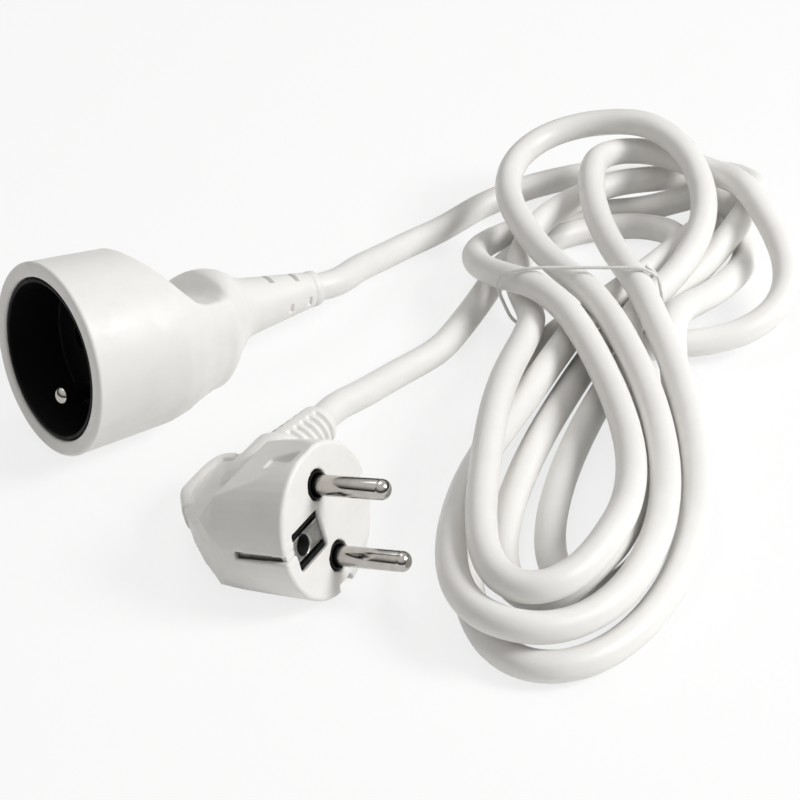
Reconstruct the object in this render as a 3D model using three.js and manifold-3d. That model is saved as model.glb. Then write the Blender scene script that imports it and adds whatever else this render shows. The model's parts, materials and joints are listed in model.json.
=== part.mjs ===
// Household extension cord: a round trailing socket with an earth pin, a round white
// flexible cord wound in a tied figure-eight hank, and an angled two-pin plug with earth clips.
// Millimetres, +Z up, everything lies on the plane z = 0. The origin is the bottom centre of
// the socket, and +X runs along the socket from its face to its cord.

import * as THREE from "three";
import { mergeVertices } from "three/addons/utils/BufferGeometryUtils.js";
import Module from "manifold-3d";

const wasm = await Module();
wasm.setup();

// Driving dimensions

// Clearances and roundness
const FIT_GAP = 0.3; // between two pieces that touch on the real object
const OVERRUN = 1.0; // how far a cutting shape runs past what it cuts
const ROUND_SIDES = 48; // sides of the large round pieces
const SMALL_SIDES = 20; // sides of pins and bores
const CORE_SIDES = 8;
const CORE_STEPS = 14;

// Cord
const CORD_D = 7.4; // three-core round flex
const CORE_D = 2.4; // one insulated core
const CORE_CIRCLE_R = 1.6; // the three cores lie on this circle
const LEAD_SIDES = 10;
const LEAD_STEPS = 10;
const HANK_SIDES = 6;
const LOOP_STEPS = 24; // tube steps in one loop of the hank

// Pins, and the crimps that join them to the cores, alike in plug and socket
const PIN_D = 4.8;
const PIN_SPACING = 19.0; // between the centres of the two pins
const EARTH_OFFSET = 10.0; // from the line of the pins to the earth pin
const PIN_TIP_SHARE = 0.5; // how round the tip of a pin is, a share of its diameter
const HOLE_CLEAR = 0.35; // round a pin in a hole
const TAIL_R = 1.2;
const CRIMP_L = 3.6;
const CRIMP_WALL = 0.5;

// Socket body
const RIM_R = 24.3;
const RIM_EDGE = 0.9; // small bevel round the rim
const SOCKET_BODY_L = 52.8;
const SOCKET_TILT = 7.5; // degrees, held so by its cord
// The body behind the rim, as shares of its length and of the rim's radius
const SOCKET_SHAPE_SHARES = [
  [0.51, 0.942], [0.6, 0.897], [0.68, 0.827], [0.775, 0.762],
  [0.86, 0.74], [0.9, 0.69], [0.94, 0.56], [0.975, 0.465], [1, 0.43],
];
// Finger scoop right across the side away from the earth pin, as shares of the body's length and
// of the rim's radius: a slope, its floor and the lip behind it
const SCOOP_SHARES = [
  [0.4, 0.98], [0.432, 0.877], [0.489, 0.708], [0.534, 0.551], [0.608, 0.358], [0.674, 0.295],
  [0.782, 0.292], [0.82, 0.366], [0.852, 0.502], [0.93, 0.51], [1.02, 0.53],
];
const SCOOP_FLOOR_SHARE = 0.292;
const SCOOP_ROLL = 8; // degrees, from the earth pin's plane
const SCOOP_WALL = 1.1; // under the floor of the scoop

// Socket insert, shutter and carrier
const RIM_WIDTH = 4.1; // the white rim round the cup
const CUP_WALL = 1.0;
const CUP_SETBACK = 0.4; // from the rim to the lip of the cup
const RECESS_DEPTH = 15.0;
const CUP_FLOOR = 2.0;
const EARTH_PIN_SETBACK = 1.6; // the tip of the earth pin lies this far inside the rim
const SHUTTER_T = 3.4;
const SHUTTER_TRAVEL = 6.0;
const SHUTTER_EDGE = 0.8; // plate left beside and above its windows
const WINDOW_CLEAR = 0.4; // round a pin in a window of the plate
const SHUTTER_SHOULDER = 4.0; // below this the plate is narrow
const SHUTTER_FOOT = 8.5;
const SHUTTER_FOOT_HALF_W = 6.4;
const SPRING_SEAT = 1.0; // top of the spring's slot, above the line of the pins
const SPRING_MEAN_R = 1.15;
const SPRING_WIRE_D = 0.5;
const SPRING_TURNS = 7;
const SPRING_TURN_STEPS = 8;
const SPRING_SIDES = 5;
const CARRIER_STEP = 1.9; // the carrier is so much narrower than the cup
const CARRIER_RING = 1.2;
const CARRIER_SHARE = 0.2273; // length of the carrier, of the body's
const CARRIER_DISC_L = 0.8; // of the carrier behind the shutter, before it turns flat on top
const TULIP_WALL = 0.7;
const TULIP_ROOM = 3.5; // of the carrier behind the contacts
const TULIP_BASE = 0.9;
const TULIP_SLIT = 1.0;
const EARTH_SHANK_L = 5.0; // full thickness of the earth pin inside the carrier
const WIRE_ROOM_L = 8.5;

// Socket strain relief
const BOOT_FLANGE_R = 9.2;
const BOOT_FLANGE_T = 2.4;
const BOOT_NECK_R = 7.4;
const BOOT_NECK_L = 3.2;
const BOOT_BASE_R = 9.8;
const BOOT_L = 27.8; // what stands out of the socket body
const BOOT_END_R = 4.8;
// How the boot narrows, as shares of its length and of its first radius
const BOOT_SHAPE_SHARES = [[0.08, 0.87], [0.17, 0.79], [0.3, 0.73]];
const BOOT_COLLAR_L = 2.4;
const BOOT_COLLAR_STEP = 0.3;
const BOOT_BORE_R = 3.4;
const BOOT_SLOT_L = 1.7;
const BOOT_SLOT_W = 6.2;
const BOOT_SLOT_FLOOR = 4.1; // from the axis to the bottom of a slot
const BOOT_SLOT_SHARES = [0.44, 0.73]; // slots above and below, along the boot
const BOOT_SIDE_SLOT_SHARES = [0.58, 0.82];

// Plug body, in its own frame: pins forward along x, cord out along y, z up
const FACE_R = 18.3;
const FACE_EDGE = 0.6;
const FACET_L = 20.0; // the flat facet that it lies on, from the face to the grip
const FACET_END = 12.7; // half height of the body where the grip begins
const GRIP_L = 43.4; // from the face to the back of the grip
// The grip behind the facet, as shares of what is left of the length and of the half height
const GRIP_SHARES = [
  [0.08, 0.8], [0.165, 0.63], [0.28, 0.49], [0.41, 0.38], [0.57, 0.28], [0.74, 0.21], [1, 0.17],
];
// Side view of the body, from the face: shares of the length and of the face's radius
const SIDE_SHARES = [
  [0, -1.1], [0.32, -1], [0.49, -0.9], [0.64, -0.7], [0.76, -0.46], [0.88, -0.16], [1, 0.2],
  [1, 0.94], [0.985, 1.06], [0.85, 1.15], [0.53, 1.15], [0.43, 1.1], [0.32, 1.02], [0, 1.1],
];
// Radius the body is turned to, as shares of the face's, where the facet ends, at the boss and
// at the back of the grip
const FLARE_SHARES = [0.95, 1.02, 1.8];
const BOSS_AXIS = 26.5; // from the face to the axis of the cord exit
const BOSS_R = 8.3;
const BOSS_START = 2.6;
const BOSS_END = 22.4;
const BOSS_WALL = 1.3; // where the boss is round at its start
// Round end of the boss, as shares of its radius
const BOSS_ROUND_SHARES = [[0, 0.5], [0.2, 0.8], [0.5, 0.95], [0.9, 1]];
const FACE_WALL = 1.8;
const BRIDGE_R = 14.5;
const BRIDGE_L = 7.2;
const BRIDGE_BOSS_WALL = 0.9; // dark collar round each pin
const WINDOW_HALF_W = 5.0;
const WINDOW_NEAR = 2.5; // window of the earth contact, from the line of the pins
const WINDOW_FAR = 13.7;
const BAR_T = 1.3; // dark bars beside the earth contact
const BAR_SETBACK = 0.5;
const PIN_L = 19.0;
const PIN_SHANK_L = 7.5; // full thickness of the pin inside the plug
const TAIL_END = 12.6; // from the face to the ends of the pins inside the plug
const STRIP_T = 0.8;
const STRIP_HALF_W = 2.9;
const CLIP_DEPTH = 2.0; // from the round side of the plug down to the clip
const CLIP_L = 12.0;
const CLIP_SLOT_L = 14.6;
const SLIT_W = 1.8; // slit in the side that a clip of the other plug system passes
const POCKET_WALL = 1.7; // outside the clip
const EARTH_TUBE_WALL = 0.6;
const EARTH_TUBE_L = 6.4;
const GUIDE_HALF_W = 2.6;
const GUIDE_L = 8.0;
const GUIDE_START = 3.4;
const GUIDE_DEPTH = 2.4;
const CRIMP_ROOM_END = 17.4; // from the face
const CORE_ROOM_SHARES = [[0.82, 0.8], [1, 0.74], [1.175, 0.47]]; // of the facet, length and end
const CORE_ROOM_LOW = 11.0; // the core room reaches this far away from the cord's side
// Bends of the cores from their crimps to the cord's exit, as shares of BOSS_AXIS, of the way to
// the boot and of half the pin spacing
const LIVE_BEND_SHARES = [[0.664, 0.07, 0.78], [0.81, 0.27, 0.5], [0.985, 0.62, 0.27]];
const EARTH_BEND_SHARES = [
  [0.687, -0.46, 0], [0.774, -0.23, 0], [0.815, 0.115, 0], [0.853, 0.345, 0], [0.928, 0.66, 0],
];
const PLUG_FLANGE_R = 6.7;
const PLUG_FLANGE_T = 2.4;
const PLUG_NECK_R = 5.7;
const PLUG_NECK_L = 2.9;
const PLUG_BOOT_L = 17.3;
const PLUG_BOOT_BASE_R = 7.4;
const PLUG_BOOT_END_R = 5.1;
const RIB_GROOVES = 5;
const RIB_GROOVE_L = 1.1;
const RIB_GROOVE_FLOOR = 4.7; // from the axis to the bottom of a groove
const RIB_SPINE_W = 3.2; // the boot is left whole along this width on two sides

// Where things lie on the ground plane
const PLUG_AT = [-16.56, -83.75]; // middle of the plug's face
const PLUG_TURN = -66.4; // degrees, the way the pins point
const EARTH_ROLL = 167; // degrees, the earth pin lies near the bottom of the socket
const HANK_AT = [94.14, -53.55]; // waist of the hank
const HANK_TURN = 45.1; // degrees, from +X to the upper lobe
// Each lead from its exit to the hank, chosen by hand
const SOCKET_LEAD_POINTS = [
  [58.9, 4.7, 12.4], [72.7, 11.5, 7.8], [86.6, 16.3, 4.8], [99.3, 18.2, 3.9],
];
const PLUG_LEAD_POINTS = [
  [26.2, -39.4, 9.3], [42, -33.6, 5.6], [59.5, -29.7, 4], [70.4, -24.8, 3.75],
];

// Tie round the waist of the hank
const TIE_D = 0.9;
const TIE_CLEAR = 0.5; // from the cord to the tie
const TIE_SIDES = 6;
const TIE_STEPS = 60;
const TIE_TURN = 400; // degrees, so that its two ends pass each other
const TIE_START = 40; // degrees
const TIE_SHIFT = 1.8; // its ends lie this far apart along the hank
const TIE_PLACE = 4.5; // along the hank, from the waist
const TIE_SIDES_AT = [-26, 18]; // strands farther across the hank than these pass outside the tie
const TIE_SLOPE = 1.5; // and so does one that runs more across than this
const TIE_SEARCH = 4; // fine steps for each step of the tie

// Hank: strands pass its waist at these places, at a height counted in layers
const LAYER = 7.9;
const HANK_CLEAR = 0.95; // aimed at between strands, so that over 0.4 is left
const SOCKET_JOIN = [-37, 69]; // across and along the hank, where each lead meets it
const PLUG_JOIN = [-31, 24];
const PASSES = [
  { across: -3.5, layer: 1 },
  { across: -1, layer: 2.15 },
  { across: 6, layer: 1 },
  { across: 0, layer: 0 },
  { across: -14, layer: 0.9 },
  { across: -10, layer: 2.15 },
  { across: 16, layer: 1.05 },
  { across: 8, layer: 0 },
  { across: 8, layer: 2.15 },
  { across: -9, layer: 0 },
];
// Each loop is pulled out by two handles, the first one met first, and has its own layer
const LOOPS = [
  { out: [-15, 100], back: [90, 134], layer: 0 },
  { out: [-90, -192], back: [70, -142], layer: 1 },
  { out: [-94, 125], back: [88, 107], layer: 2.9 },
  { out: [46, -136], back: [-58, -160], layer: 0 },
  { out: [112, 140], back: [-66, 75], layer: 1.1 },
  { out: [-56, -220], back: [60, -90], layer: 2 },
  { out: [-98, 54], back: [100, 136], layer: 0 },
  { out: [42, -122], back: [-44, -158], layer: 0 },
  { out: [128, -8], back: [-58, 188], layer: 1.9 },
  { out: [60, -136], back: [-72, -204], layer: 0 },
  { out: [94, 86], back: [-24, 80], layer: 0 },
];
const DRAFT_SMOOTHING = 6; // rounds

// Sizes that follow

const PI = Math.PI;
const radians = THREE.MathUtils.degToRad;
const CORD_R = CORD_D / 2;
const CORE_R = CORE_D / 2;
const PIN_R = PIN_D / 2;
const PIN_Y = PIN_SPACING / 2;
const HOLE_R = PIN_R + HOLE_CLEAR;
const TAIL_HOLE_R = TAIL_R + FIT_GAP;
const CRIMP_R = TAIL_HOLE_R + CRIMP_WALL;
const CUP_R = RIM_R - RIM_WIDTH;
const CUP_END = RECESS_DEPTH + CUP_FLOOR;
const CARRIER_R = CUP_R - CARRIER_STEP;
const CARRIER_L = CARRIER_SHARE * SOCKET_BODY_L;
const TULIP_L = CARRIER_L - TULIP_ROOM;
const SHUTTER_X = CUP_END + FIT_GAP;
const CARRIER_X = SHUTTER_X + SHUTTER_T + FIT_GAP;
const CARRIER_END = CARRIER_X + CARRIER_L;
const TULIP_R = PIN_R + TULIP_WALL + FIT_GAP / 2;
const SOCKET_TAIL_END = CARRIER_END + FIT_GAP + CRIMP_L / 2;
const WIRE_ROOM_R = EARTH_OFFSET + CRIMP_R + FIT_GAP;
const BOOT_START = SOCKET_BODY_L + FIT_GAP;
const BOOT_END = BOOT_START + BOOT_L;
const BOOT_NECK_START = BOOT_START - BOOT_NECK_L;
const FLANGE_START = BOOT_NECK_START - BOOT_FLANGE_T;
const ROOM_FLAT = SCOOP_FLOOR_SHARE * RIM_R - SCOOP_WALL; // from the axis to the roof of the rooms
const FLAT_START = CARRIER_X + CARRIER_DISC_L;
const BRIDGE_X = FACE_WALL + FIT_GAP + STRIP_T + FIT_GAP; // all behind the face from here
const BRIDGE_END = BRIDGE_X + BRIDGE_L;
const CLIP_Y = FACE_R - CLIP_DEPTH;
const PLUG_TILT = Math.atan((FACE_R - FACET_END) / FACET_L);
const PLUG_BOOT_START = BOSS_END + FIT_GAP;
const PLUG_BOOT_END = PLUG_BOOT_START + PLUG_BOOT_L;
const PLUG_NECK_START = PLUG_BOOT_START - PLUG_NECK_L;
const PLUG_FLANGE_START = PLUG_NECK_START - PLUG_FLANGE_T;
const EARTH_SIDE = -EARTH_OFFSET; // of the plug, away from its cord

// Materials

const finish = (color, roughness, metalness = 0) =>
  new THREE.MeshStandardMaterial({ color, roughness, metalness });
const WHITE_PVC = finish(0xf1f1ee, 0.45);
const CORD_PVC = finish(0xf0f0ed, 0.5);
const BLACK_PLASTIC = finish(0x0c0c0d, 0.4);
const GREY_PLASTIC = finish(0x4a4a4c, 0.5);
const NICKEL = finish(0xc9c6c2, 0.2, 1);
const BRASS = finish(0xc7a45a, 0.35, 1);
const STEEL = finish(0x9a9a98, 0.35, 1);
const TIE_PLASTIC = finish(0xe8e8e4, 0.35);
const CORE_BROWN = finish(0x5a3420, 0.5);
const CORE_BLUE = finish(0x2b5f9e, 0.5);
const CORE_EARTH = finish(0x6d9a3c, 0.5);

// Solids

// A closed three.js geometry as a solid that can be cut and joined.
function solid(geometry) {
  const plain = geometry.clone();
  plain.deleteAttribute("normal");
  plain.deleteAttribute("uv");
  const merged = mergeVertices(plain);
  return new wasm.Manifold(
    new wasm.Mesh({
      numProp: 3,
      vertProperties: new Float32Array(merged.attributes.position.array),
      triVerts: new Uint32Array(merged.index.array),
    }),
  );
}

// A solid back to a geometry.
function geometryOf(body) {
  const { vertProperties, triVerts } = body.getMesh();
  const geometry = new THREE.BufferGeometry();
  const places = new THREE.BufferAttribute(new Float32Array(vertProperties), 3);
  geometry.setAttribute("position", places);
  geometry.setIndex(new THREE.BufferAttribute(new Uint32Array(triVerts), 1));
  return geometry;
}

const cut = (body, ...tools) => tools.reduce((left, tool) => left.subtract(tool), body);
const join = (body, ...others) => others.reduce((sum, other) => sum.add(other), body);

// Turns a shape made along x so that it runs along another axis, and moves it.
function placed(geometry, axis, [x, y, z]) {
  if (axis === "y") geometry.rotateZ(PI / 2);
  if (axis === "z") geometry.rotateY(-PI / 2);
  return geometry.translate(x, y, z);
}

// A profile of [distance along the axis, radius] turned round that axis.
function turned(profile, { axis = "x", at = [0, 0, 0], sides = SMALL_SIDES } = {}) {
  const points = profile.map(([along, radius]) => new THREE.Vector2(radius, along));
  const geometry = new THREE.LatheGeometry(points, sides).rotateZ(-PI / 2);
  return solid(placed(geometry, axis, at));
}

// A rod from start to end along an axis.
const rod = (start, end, radius, where) =>
  turned([[start, 0], [start, radius], [end, radius], [end, 0]], where);

// A ring from start to end along an axis.
const ring = (start, end, inner, outer, where) =>
  cut(rod(start, end, outer, where), rod(start - OVERRUN, end + OVERRUN, inner, where));

// A block between two corners.
function block([x0, y0, z0], [x1, y1, z1]) {
  const box = new THREE.BoxGeometry(x1 - x0, y1 - y0, z1 - z0);
  return solid(box.translate((x0 + x1) / 2, (y0 + y1) / 2, (z0 + z1) / 2));
}

// A flat outline with a thickness, centred on its own plane.
function slab(outline, thickness) {
  const shape = new THREE.Shape(outline.map(([a, b]) => new THREE.Vector2(a, b)));
  const geometry = new THREE.ExtrudeGeometry(shape, { depth: thickness, bevelEnabled: false });
  return geometry.translate(0, 0, -thickness / 2);
}

const curveThrough = (points) =>
  new THREE.CatmullRomCurve3(points.map((p) => new THREE.Vector3(...p)), false, "centripetal");

// A tube along a curve, with flat ends.
function tube(curve, radius, steps, sides) {
  const corners = Array.from({ length: sides }, (_, k) => {
    const angle = (2 * PI * k) / sides;
    return new THREE.Vector2(radius * Math.cos(angle), radius * Math.sin(angle));
  });
  const options = { steps, bevelEnabled: false, extrudePath: curve };
  return new THREE.ExtrudeGeometry(new THREE.Shape(corners), options);
}

// A long tube through many points, joined ring to ring in one geometry.
function ringTube(points, radius, sides) {
  const count = points.length;
  const tangents = points.map((_, k) => {
    const before = points[Math.max(k - 1, 0)];
    const after = points[Math.min(k + 1, count - 1)];
    return after.clone().sub(before).normalize();
  });
  const side = new THREE.Vector3(0, 0, 1).cross(tangents[0]).normalize();
  const positions = [];
  tangents.forEach((tangent, k) => {
    side.sub(tangent.clone().multiplyScalar(side.dot(tangent))).normalize();
    const up = tangent.clone().cross(side);
    for (let s = 0; s < sides; s += 1) {
      const angle = (2 * PI * (s + 0.5)) / sides;
      const corner = points[k].clone();
      corner.addScaledVector(side, radius * Math.cos(angle));
      corner.addScaledVector(up, radius * Math.sin(angle));
      positions.push(corner.x, corner.y, corner.z);
    }
  });
  const faces = [];
  for (let k = 0; k < count - 1; k += 1) {
    for (let s = 0; s < sides; s += 1) {
      const a = k * sides + s;
      const b = k * sides + ((s + 1) % sides);
      faces.push(a, b, b + sides, a, b + sides, a + sides);
    }
  }
  const last = (count - 1) * sides;
  for (let s = 1; s < sides - 1; s += 1) {
    faces.push(0, s + 1, s, last, last + s, last + s + 1);
  }
  const geometry = new THREE.BufferGeometry();
  geometry.setAttribute("position", new THREE.Float32BufferAttribute(positions, 3));
  geometry.setIndex(faces);
  return geometry;
}

// Cord hank

const RELAX_ROUNDS = 500;
const SETTLE_SHARE = 0.7; // share of the rounds in which the strands also sink
const LATE_SHARE = 0.85; // share of a push that is kept as it is in the last rounds
const SINK = 0.05; // how far a strand may sink in one round
const PUSH_SHARE = 1.2; // how much of an overlap one round takes away
const PUSH_WAY = new THREE.Vector3(0.45, 0.45, 1); // strands rather ride up than move aside
const NEIGHBOUR_SKIP = 10; // steps along the cord that count as the same strand
const LIST_ROUNDS = 20; // rounds between two searches for near strands
const LIST_MARGIN = 6.0;
const POINTS_PER_LOOP = 2 * LOOP_STEPS;
const WAIST_LIFT = TIE_D + TIE_CLEAR + 2 * FIT_GAP; // the tie passes under the waist
const WAIST_LIFT_REACH = 10.0;

const lowest = (along) =>
  CORD_R + WAIST_LIFT * Math.exp(-(((along - TIE_PLACE) / WAIST_LIFT_REACH) ** 2));

// One cubic pull from waist to waist for each loop, evenly spaced along the cord.
function hankDraft() {
  const stops = [
    { at: SOCKET_JOIN, layer: 0 },
    ...PASSES.map(({ across, layer }) => ({ at: [across, 0], layer })),
    { at: PLUG_JOIN, layer: 0 },
  ];
  const draft = [];
  LOOPS.forEach(({ out, back, layer }, k) => {
    const [from, to] = [stops[k], stops[k + 1]];
    const last = k === LOOPS.length - 1 ? 1 : 0;
    for (let step = 0; step < POINTS_PER_LOOP + last; step += 1) {
      const s = step / POINTS_PER_LOOP;
      const weights = [(1 - s) ** 3, 3 * (1 - s) ** 2 * s, 3 * (1 - s) * s * s, s ** 3];
      const knots = [from.at, out, back, to.at];
      const across = knots.reduce((sum, knot, i) => sum + weights[i] * knot[0], 0);
      const along = knots.reduce((sum, knot, i) => sum + weights[i] * knot[1], 0);
      const inLoop = Math.sin(PI * s) ** 1.2;
      const level = (from.layer * (1 - s) + to.layer * s) * (1 - inLoop) + layer * inLoop;
      draft.push(new THREE.Vector3(across, along, CORD_R + LAYER * level));
    }
  });
  const even = new THREE.CatmullRomCurve3(draft, false, "centripetal");
  even.arcLengthDivisions = draft.length * 4;
  return even.getSpacedPoints(draft.length - 1);
}

// Averages each inner value with its neighbours.
function smoothed(values, rounds) {
  let now = values;
  for (let round = 0; round < rounds; round += 1) {
    const before = now;
    now = before.map((value, k) =>
      k === 0 || k === before.length - 1
        ? value.clone()
        : value.clone().multiplyScalar(0.5).addScaledVector(before[k - 1], 0.25)
          .addScaledVector(before[k + 1], 0.25),
    );
  }
  return now;
}

// Nearest places of the segments that start at points i and j.
function nearest(points, i, j) {
  const a = points[i];
  const c = points[j];
  const d1 = points[i + 1].clone().sub(a);
  const d2 = points[j + 1].clone().sub(c);
  const r = a.clone().sub(c);
  const [aa, ee, bb, cc, ff] = [d1.dot(d1), d2.dot(d2), d1.dot(d2), d1.dot(r), d2.dot(r)];
  const spread = aa * ee - bb * bb;
  const clamp = (value) => Math.min(Math.max(value, 0), 1);
  let s = spread > Number.EPSILON ? clamp((bb * ff - cc * ee) / spread) : 0;
  let t = (bb * s + ff) / ee;
  if (t < 0 || t > 1) {
    t = clamp(t);
    s = clamp((bb * t - cc) / aa);
  }
  const away = r.addScaledVector(d1, s).addScaledVector(d2, -t);
  return { s, t, away, distance: away.length() };
}

// Pairs of segments nearer than a limit.
function nearPairs(points, limit) {
  const pairs = [];
  for (let i = 0; i < points.length - 1; i += 1) {
    for (let j = i + NEIGHBOUR_SKIP; j < points.length - 1; j += 1) {
      if (points[i].distanceToSquared(points[j]) < limit * limit) pairs.push([i, j]);
    }
  }
  return pairs;
}

// Moves strands that would pass through each other apart, a little in each round, and lets
// them sink onto what carries them.
function eased(draft) {
  const wanted = CORD_D + HANK_CLEAR;
  const step = draft[0].distanceTo(draft[1]);
  let points = draft.map((p) => p.clone());
  let pairs = [];
  for (let round = 0; round < RELAX_ROUNDS; round += 1) {
    if (round % LIST_ROUNDS === 0) pairs = nearPairs(points, wanted + 2 * step + LIST_MARGIN);
    const moves = points.map(() => new THREE.Vector3());
    const weights = points.map(() => 0);
    const give = (k, share, direction, amount) => {
      moves[k].addScaledVector(direction, amount * share);
      weights[k] += share;
    };
    for (const [i, j] of pairs) {
      const { s, t, away, distance } = nearest(points, i, j);
      if (distance < wanted) {
        const direction = away.multiply(PUSH_WAY).normalize();
        const amount = (wanted - distance) / 2;
        give(i, 1 - s, direction, amount);
        give(i + 1, s, direction, amount);
        give(j, 1 - t, direction, -amount);
        give(j + 1, t, direction, -amount);
      }
    }
    let shifts = points.map((p, k) =>
      p.clone().addScaledVector(moves[k], PUSH_SHARE / Math.max(weights[k], 1)).sub(draft[k]),
    );
    shifts[0].set(0, 0, 0);
    shifts[shifts.length - 1].set(0, 0, 0);
    const settling = round < RELAX_ROUNDS * SETTLE_SHARE;
    const soft = smoothed(shifts, settling ? 2 : 1);
    shifts = shifts.map((shift, k) => soft[k].lerp(shift, settling ? 0 : LATE_SHARE));
    points = shifts.map((shift, k) => shift.add(draft[k]));
    points.forEach((p, k) => {
      const inner = k > 0 && k < points.length - 1;
      if (inner && settling) p.z -= SINK;
      p.z = Math.max(p.z, lowest(p.y));
    });
  }
  return points;
}

// Least free space between two strands of the hank.
function leastGap(points) {
  const pairs = nearPairs(points, 3 * CORD_D);
  const distances = pairs.map(([i, j]) => nearest(points, i, j).distance);
  return Math.min(...distances) - CORD_D;
}

const hankPoints = eased(smoothed(hankDraft(), DRAFT_SMOOTHING));
console.log(`least gap between strands of the hank: ${leastGap(hankPoints).toFixed(2)} mm`);

// From across, along and up in the hank to the shared frame.
const HANK_FRAME = new THREE.Matrix4()
  .makeTranslation(...HANK_AT, 0)
  .multiply(new THREE.Matrix4().makeRotationZ(radians(HANK_TURN) - PI / 2));
const inPlace = (points) => points.map((p) => p.clone().applyMatrix4(HANK_FRAME));

// A loop of thin tie pulled round all strands at the waist, its ends passing each other.
function tiePoints() {
  const reach = TIE_SHIFT + CORD_R / 2;
  const strands = hankPoints.slice(1).flatMap((p, k) => {
    const run = p.clone().sub(hankPoints[k]);
    const passes = Math.abs(run.x) < TIE_SLOPE * Math.abs(run.y)
      && p.x > TIE_SIDES_AT[0] && p.x < TIE_SIDES_AT[1];
    return passes && Math.abs(p.y - TIE_PLACE) < reach
      ? Array.from({ length: TIE_SEARCH }, (_, i) => p.clone().addScaledVector(run, -i / TIE_SEARCH))
      : [];
  });
  const away = CORD_R + TIE_CLEAR + TIE_D / 2;
  const touch = (angle) => {
    const [c, s] = [Math.cos(angle), Math.sin(angle)];
    const far = (p) => p.x * c + p.z * s;
    const outer = strands.reduce((best, p) => (far(p) > far(best) ? p : best));
    return [outer.x + away * c, outer.z + away * s];
  };
  const count = TIE_STEPS * TIE_SEARCH;
  const drawn = Array.from({ length: count + 1 }, (_, k) => {
    const share = k / count;
    const [across, up] = touch(radians(TIE_START + TIE_TURN * share));
    return new THREE.Vector3(across, TIE_PLACE + TIE_SHIFT * (share - 0.5), up);
  });
  const curve = new THREE.CatmullRomCurve3(drawn, false, "centripetal");
  return curve.getSpacedPoints(TIE_STEPS);
}

// Pins, crimps and cores

// A contact pin along x with a round tip at one end and a thin tail behind.
function pin(tip, root, tailEnd, at) {
  const way = Math.sign(tip - root);
  const roundness = PIN_D * PIN_TIP_SHARE;
  const nose = [1, 0.92, 0.71, 0.38, 0].map((share) => {
    const back = roundness * (1 - Math.sqrt(1 - share * share));
    return [tip - way * back, PIN_R * share];
  });
  const profile = [[tailEnd, 0], [tailEnd, TAIL_R], [root, TAIL_R], [root, PIN_R], ...nose];
  return turned(way > 0 ? profile : profile.reverse(), { at });
}

// A crimp sleeve round the end of a tail, along x.
const crimp = (middle, at) =>
  ring(middle - CRIMP_L / 2, middle + CRIMP_L / 2, TAIL_HOLE_R, CRIMP_R, { at });

const core = (points) => tube(curveThrough(points), CORE_R, CORE_STEPS, CORE_SIDES);

// Socket, along x from the rim, the earth pin on the +z side of its inner pieces

const AT_LIVE = [0, -PIN_Y, 0];
const AT_NEUTRAL = [0, PIN_Y, 0];
const AT_EARTH = [0, 0, EARTH_OFFSET];
const ROUND = { sides: ROUND_SIDES };

// The finger scoop, cut right across the body on its -z side.
function scoop() {
  const floor = SCOOP_SHARES.map(([l, r]) => [l * SOCKET_BODY_L, r * RIM_R]);
  const [first, last] = [floor[0], floor[floor.length - 1]];
  const outline = [...floor, [last[0], RIM_R + OVERRUN], [first[0], RIM_R + OVERRUN]];
  return solid(slab(outline, RIM_R * 2).rotateX(-PI / 2 - radians(SCOOP_ROLL)));
}

// What lies beyond a flat under the scoop, from start to end.
function beyondFlat(start, end, height) {
  const box = new THREE.BoxGeometry(end - start, RIM_R * 2, RIM_R);
  box.translate((start + end) / 2, 0, -height - RIM_R / 2);
  return solid(box.rotateX(-radians(SCOOP_ROLL)));
}

function socketBody() {
  const outline = SOCKET_SHAPE_SHARES.map(([l, r]) => [l * SOCKET_BODY_L, r * RIM_R]);
  const outside = turned(
    [[0, 0], [0, RIM_R - RIM_EDGE], [RIM_EDGE, RIM_R], ...outline, [SOCKET_BODY_L, 0]], ROUND);
  const wireRoomEnd = FLANGE_START - FIT_GAP;
  const rooms = join(
    rod(CUP_END, CARRIER_END + FIT_GAP, CARRIER_R + FIT_GAP, ROUND),
    turned([
      [CARRIER_END, 0],
      [CARRIER_END, WIRE_ROOM_R],
      [CARRIER_END + WIRE_ROOM_L, WIRE_ROOM_R],
      [wireRoomEnd, BOOT_FLANGE_R + FIT_GAP],
      [wireRoomEnd, 0],
    ], ROUND),
  );
  return cut(
    outside,
    scoop(),
    rod(-OVERRUN, SHUTTER_X, CUP_R + FIT_GAP, ROUND),
    cut(rooms, beyondFlat(FLAT_START + FIT_GAP, SOCKET_BODY_L, ROOM_FLAT)),
    rod(wireRoomEnd - FIT_GAP, BOOT_NECK_START + FIT_GAP, BOOT_FLANGE_R + FIT_GAP, ROUND),
    rod(FLANGE_START, SOCKET_BODY_L + OVERRUN, BOOT_NECK_R + FIT_GAP, ROUND),
  );
}

function socketInsert() {
  return cut(
    rod(CUP_SETBACK, CUP_END, CUP_R, ROUND),
    rod(-OVERRUN, RECESS_DEPTH, CUP_R - CUP_WALL, ROUND),
    ...[AT_LIVE, AT_NEUTRAL, AT_EARTH].map((at) =>
      rod(RECESS_DEPTH - OVERRUN, CUP_END + OVERRUN, HOLE_R, { at })),
  );
}

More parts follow.
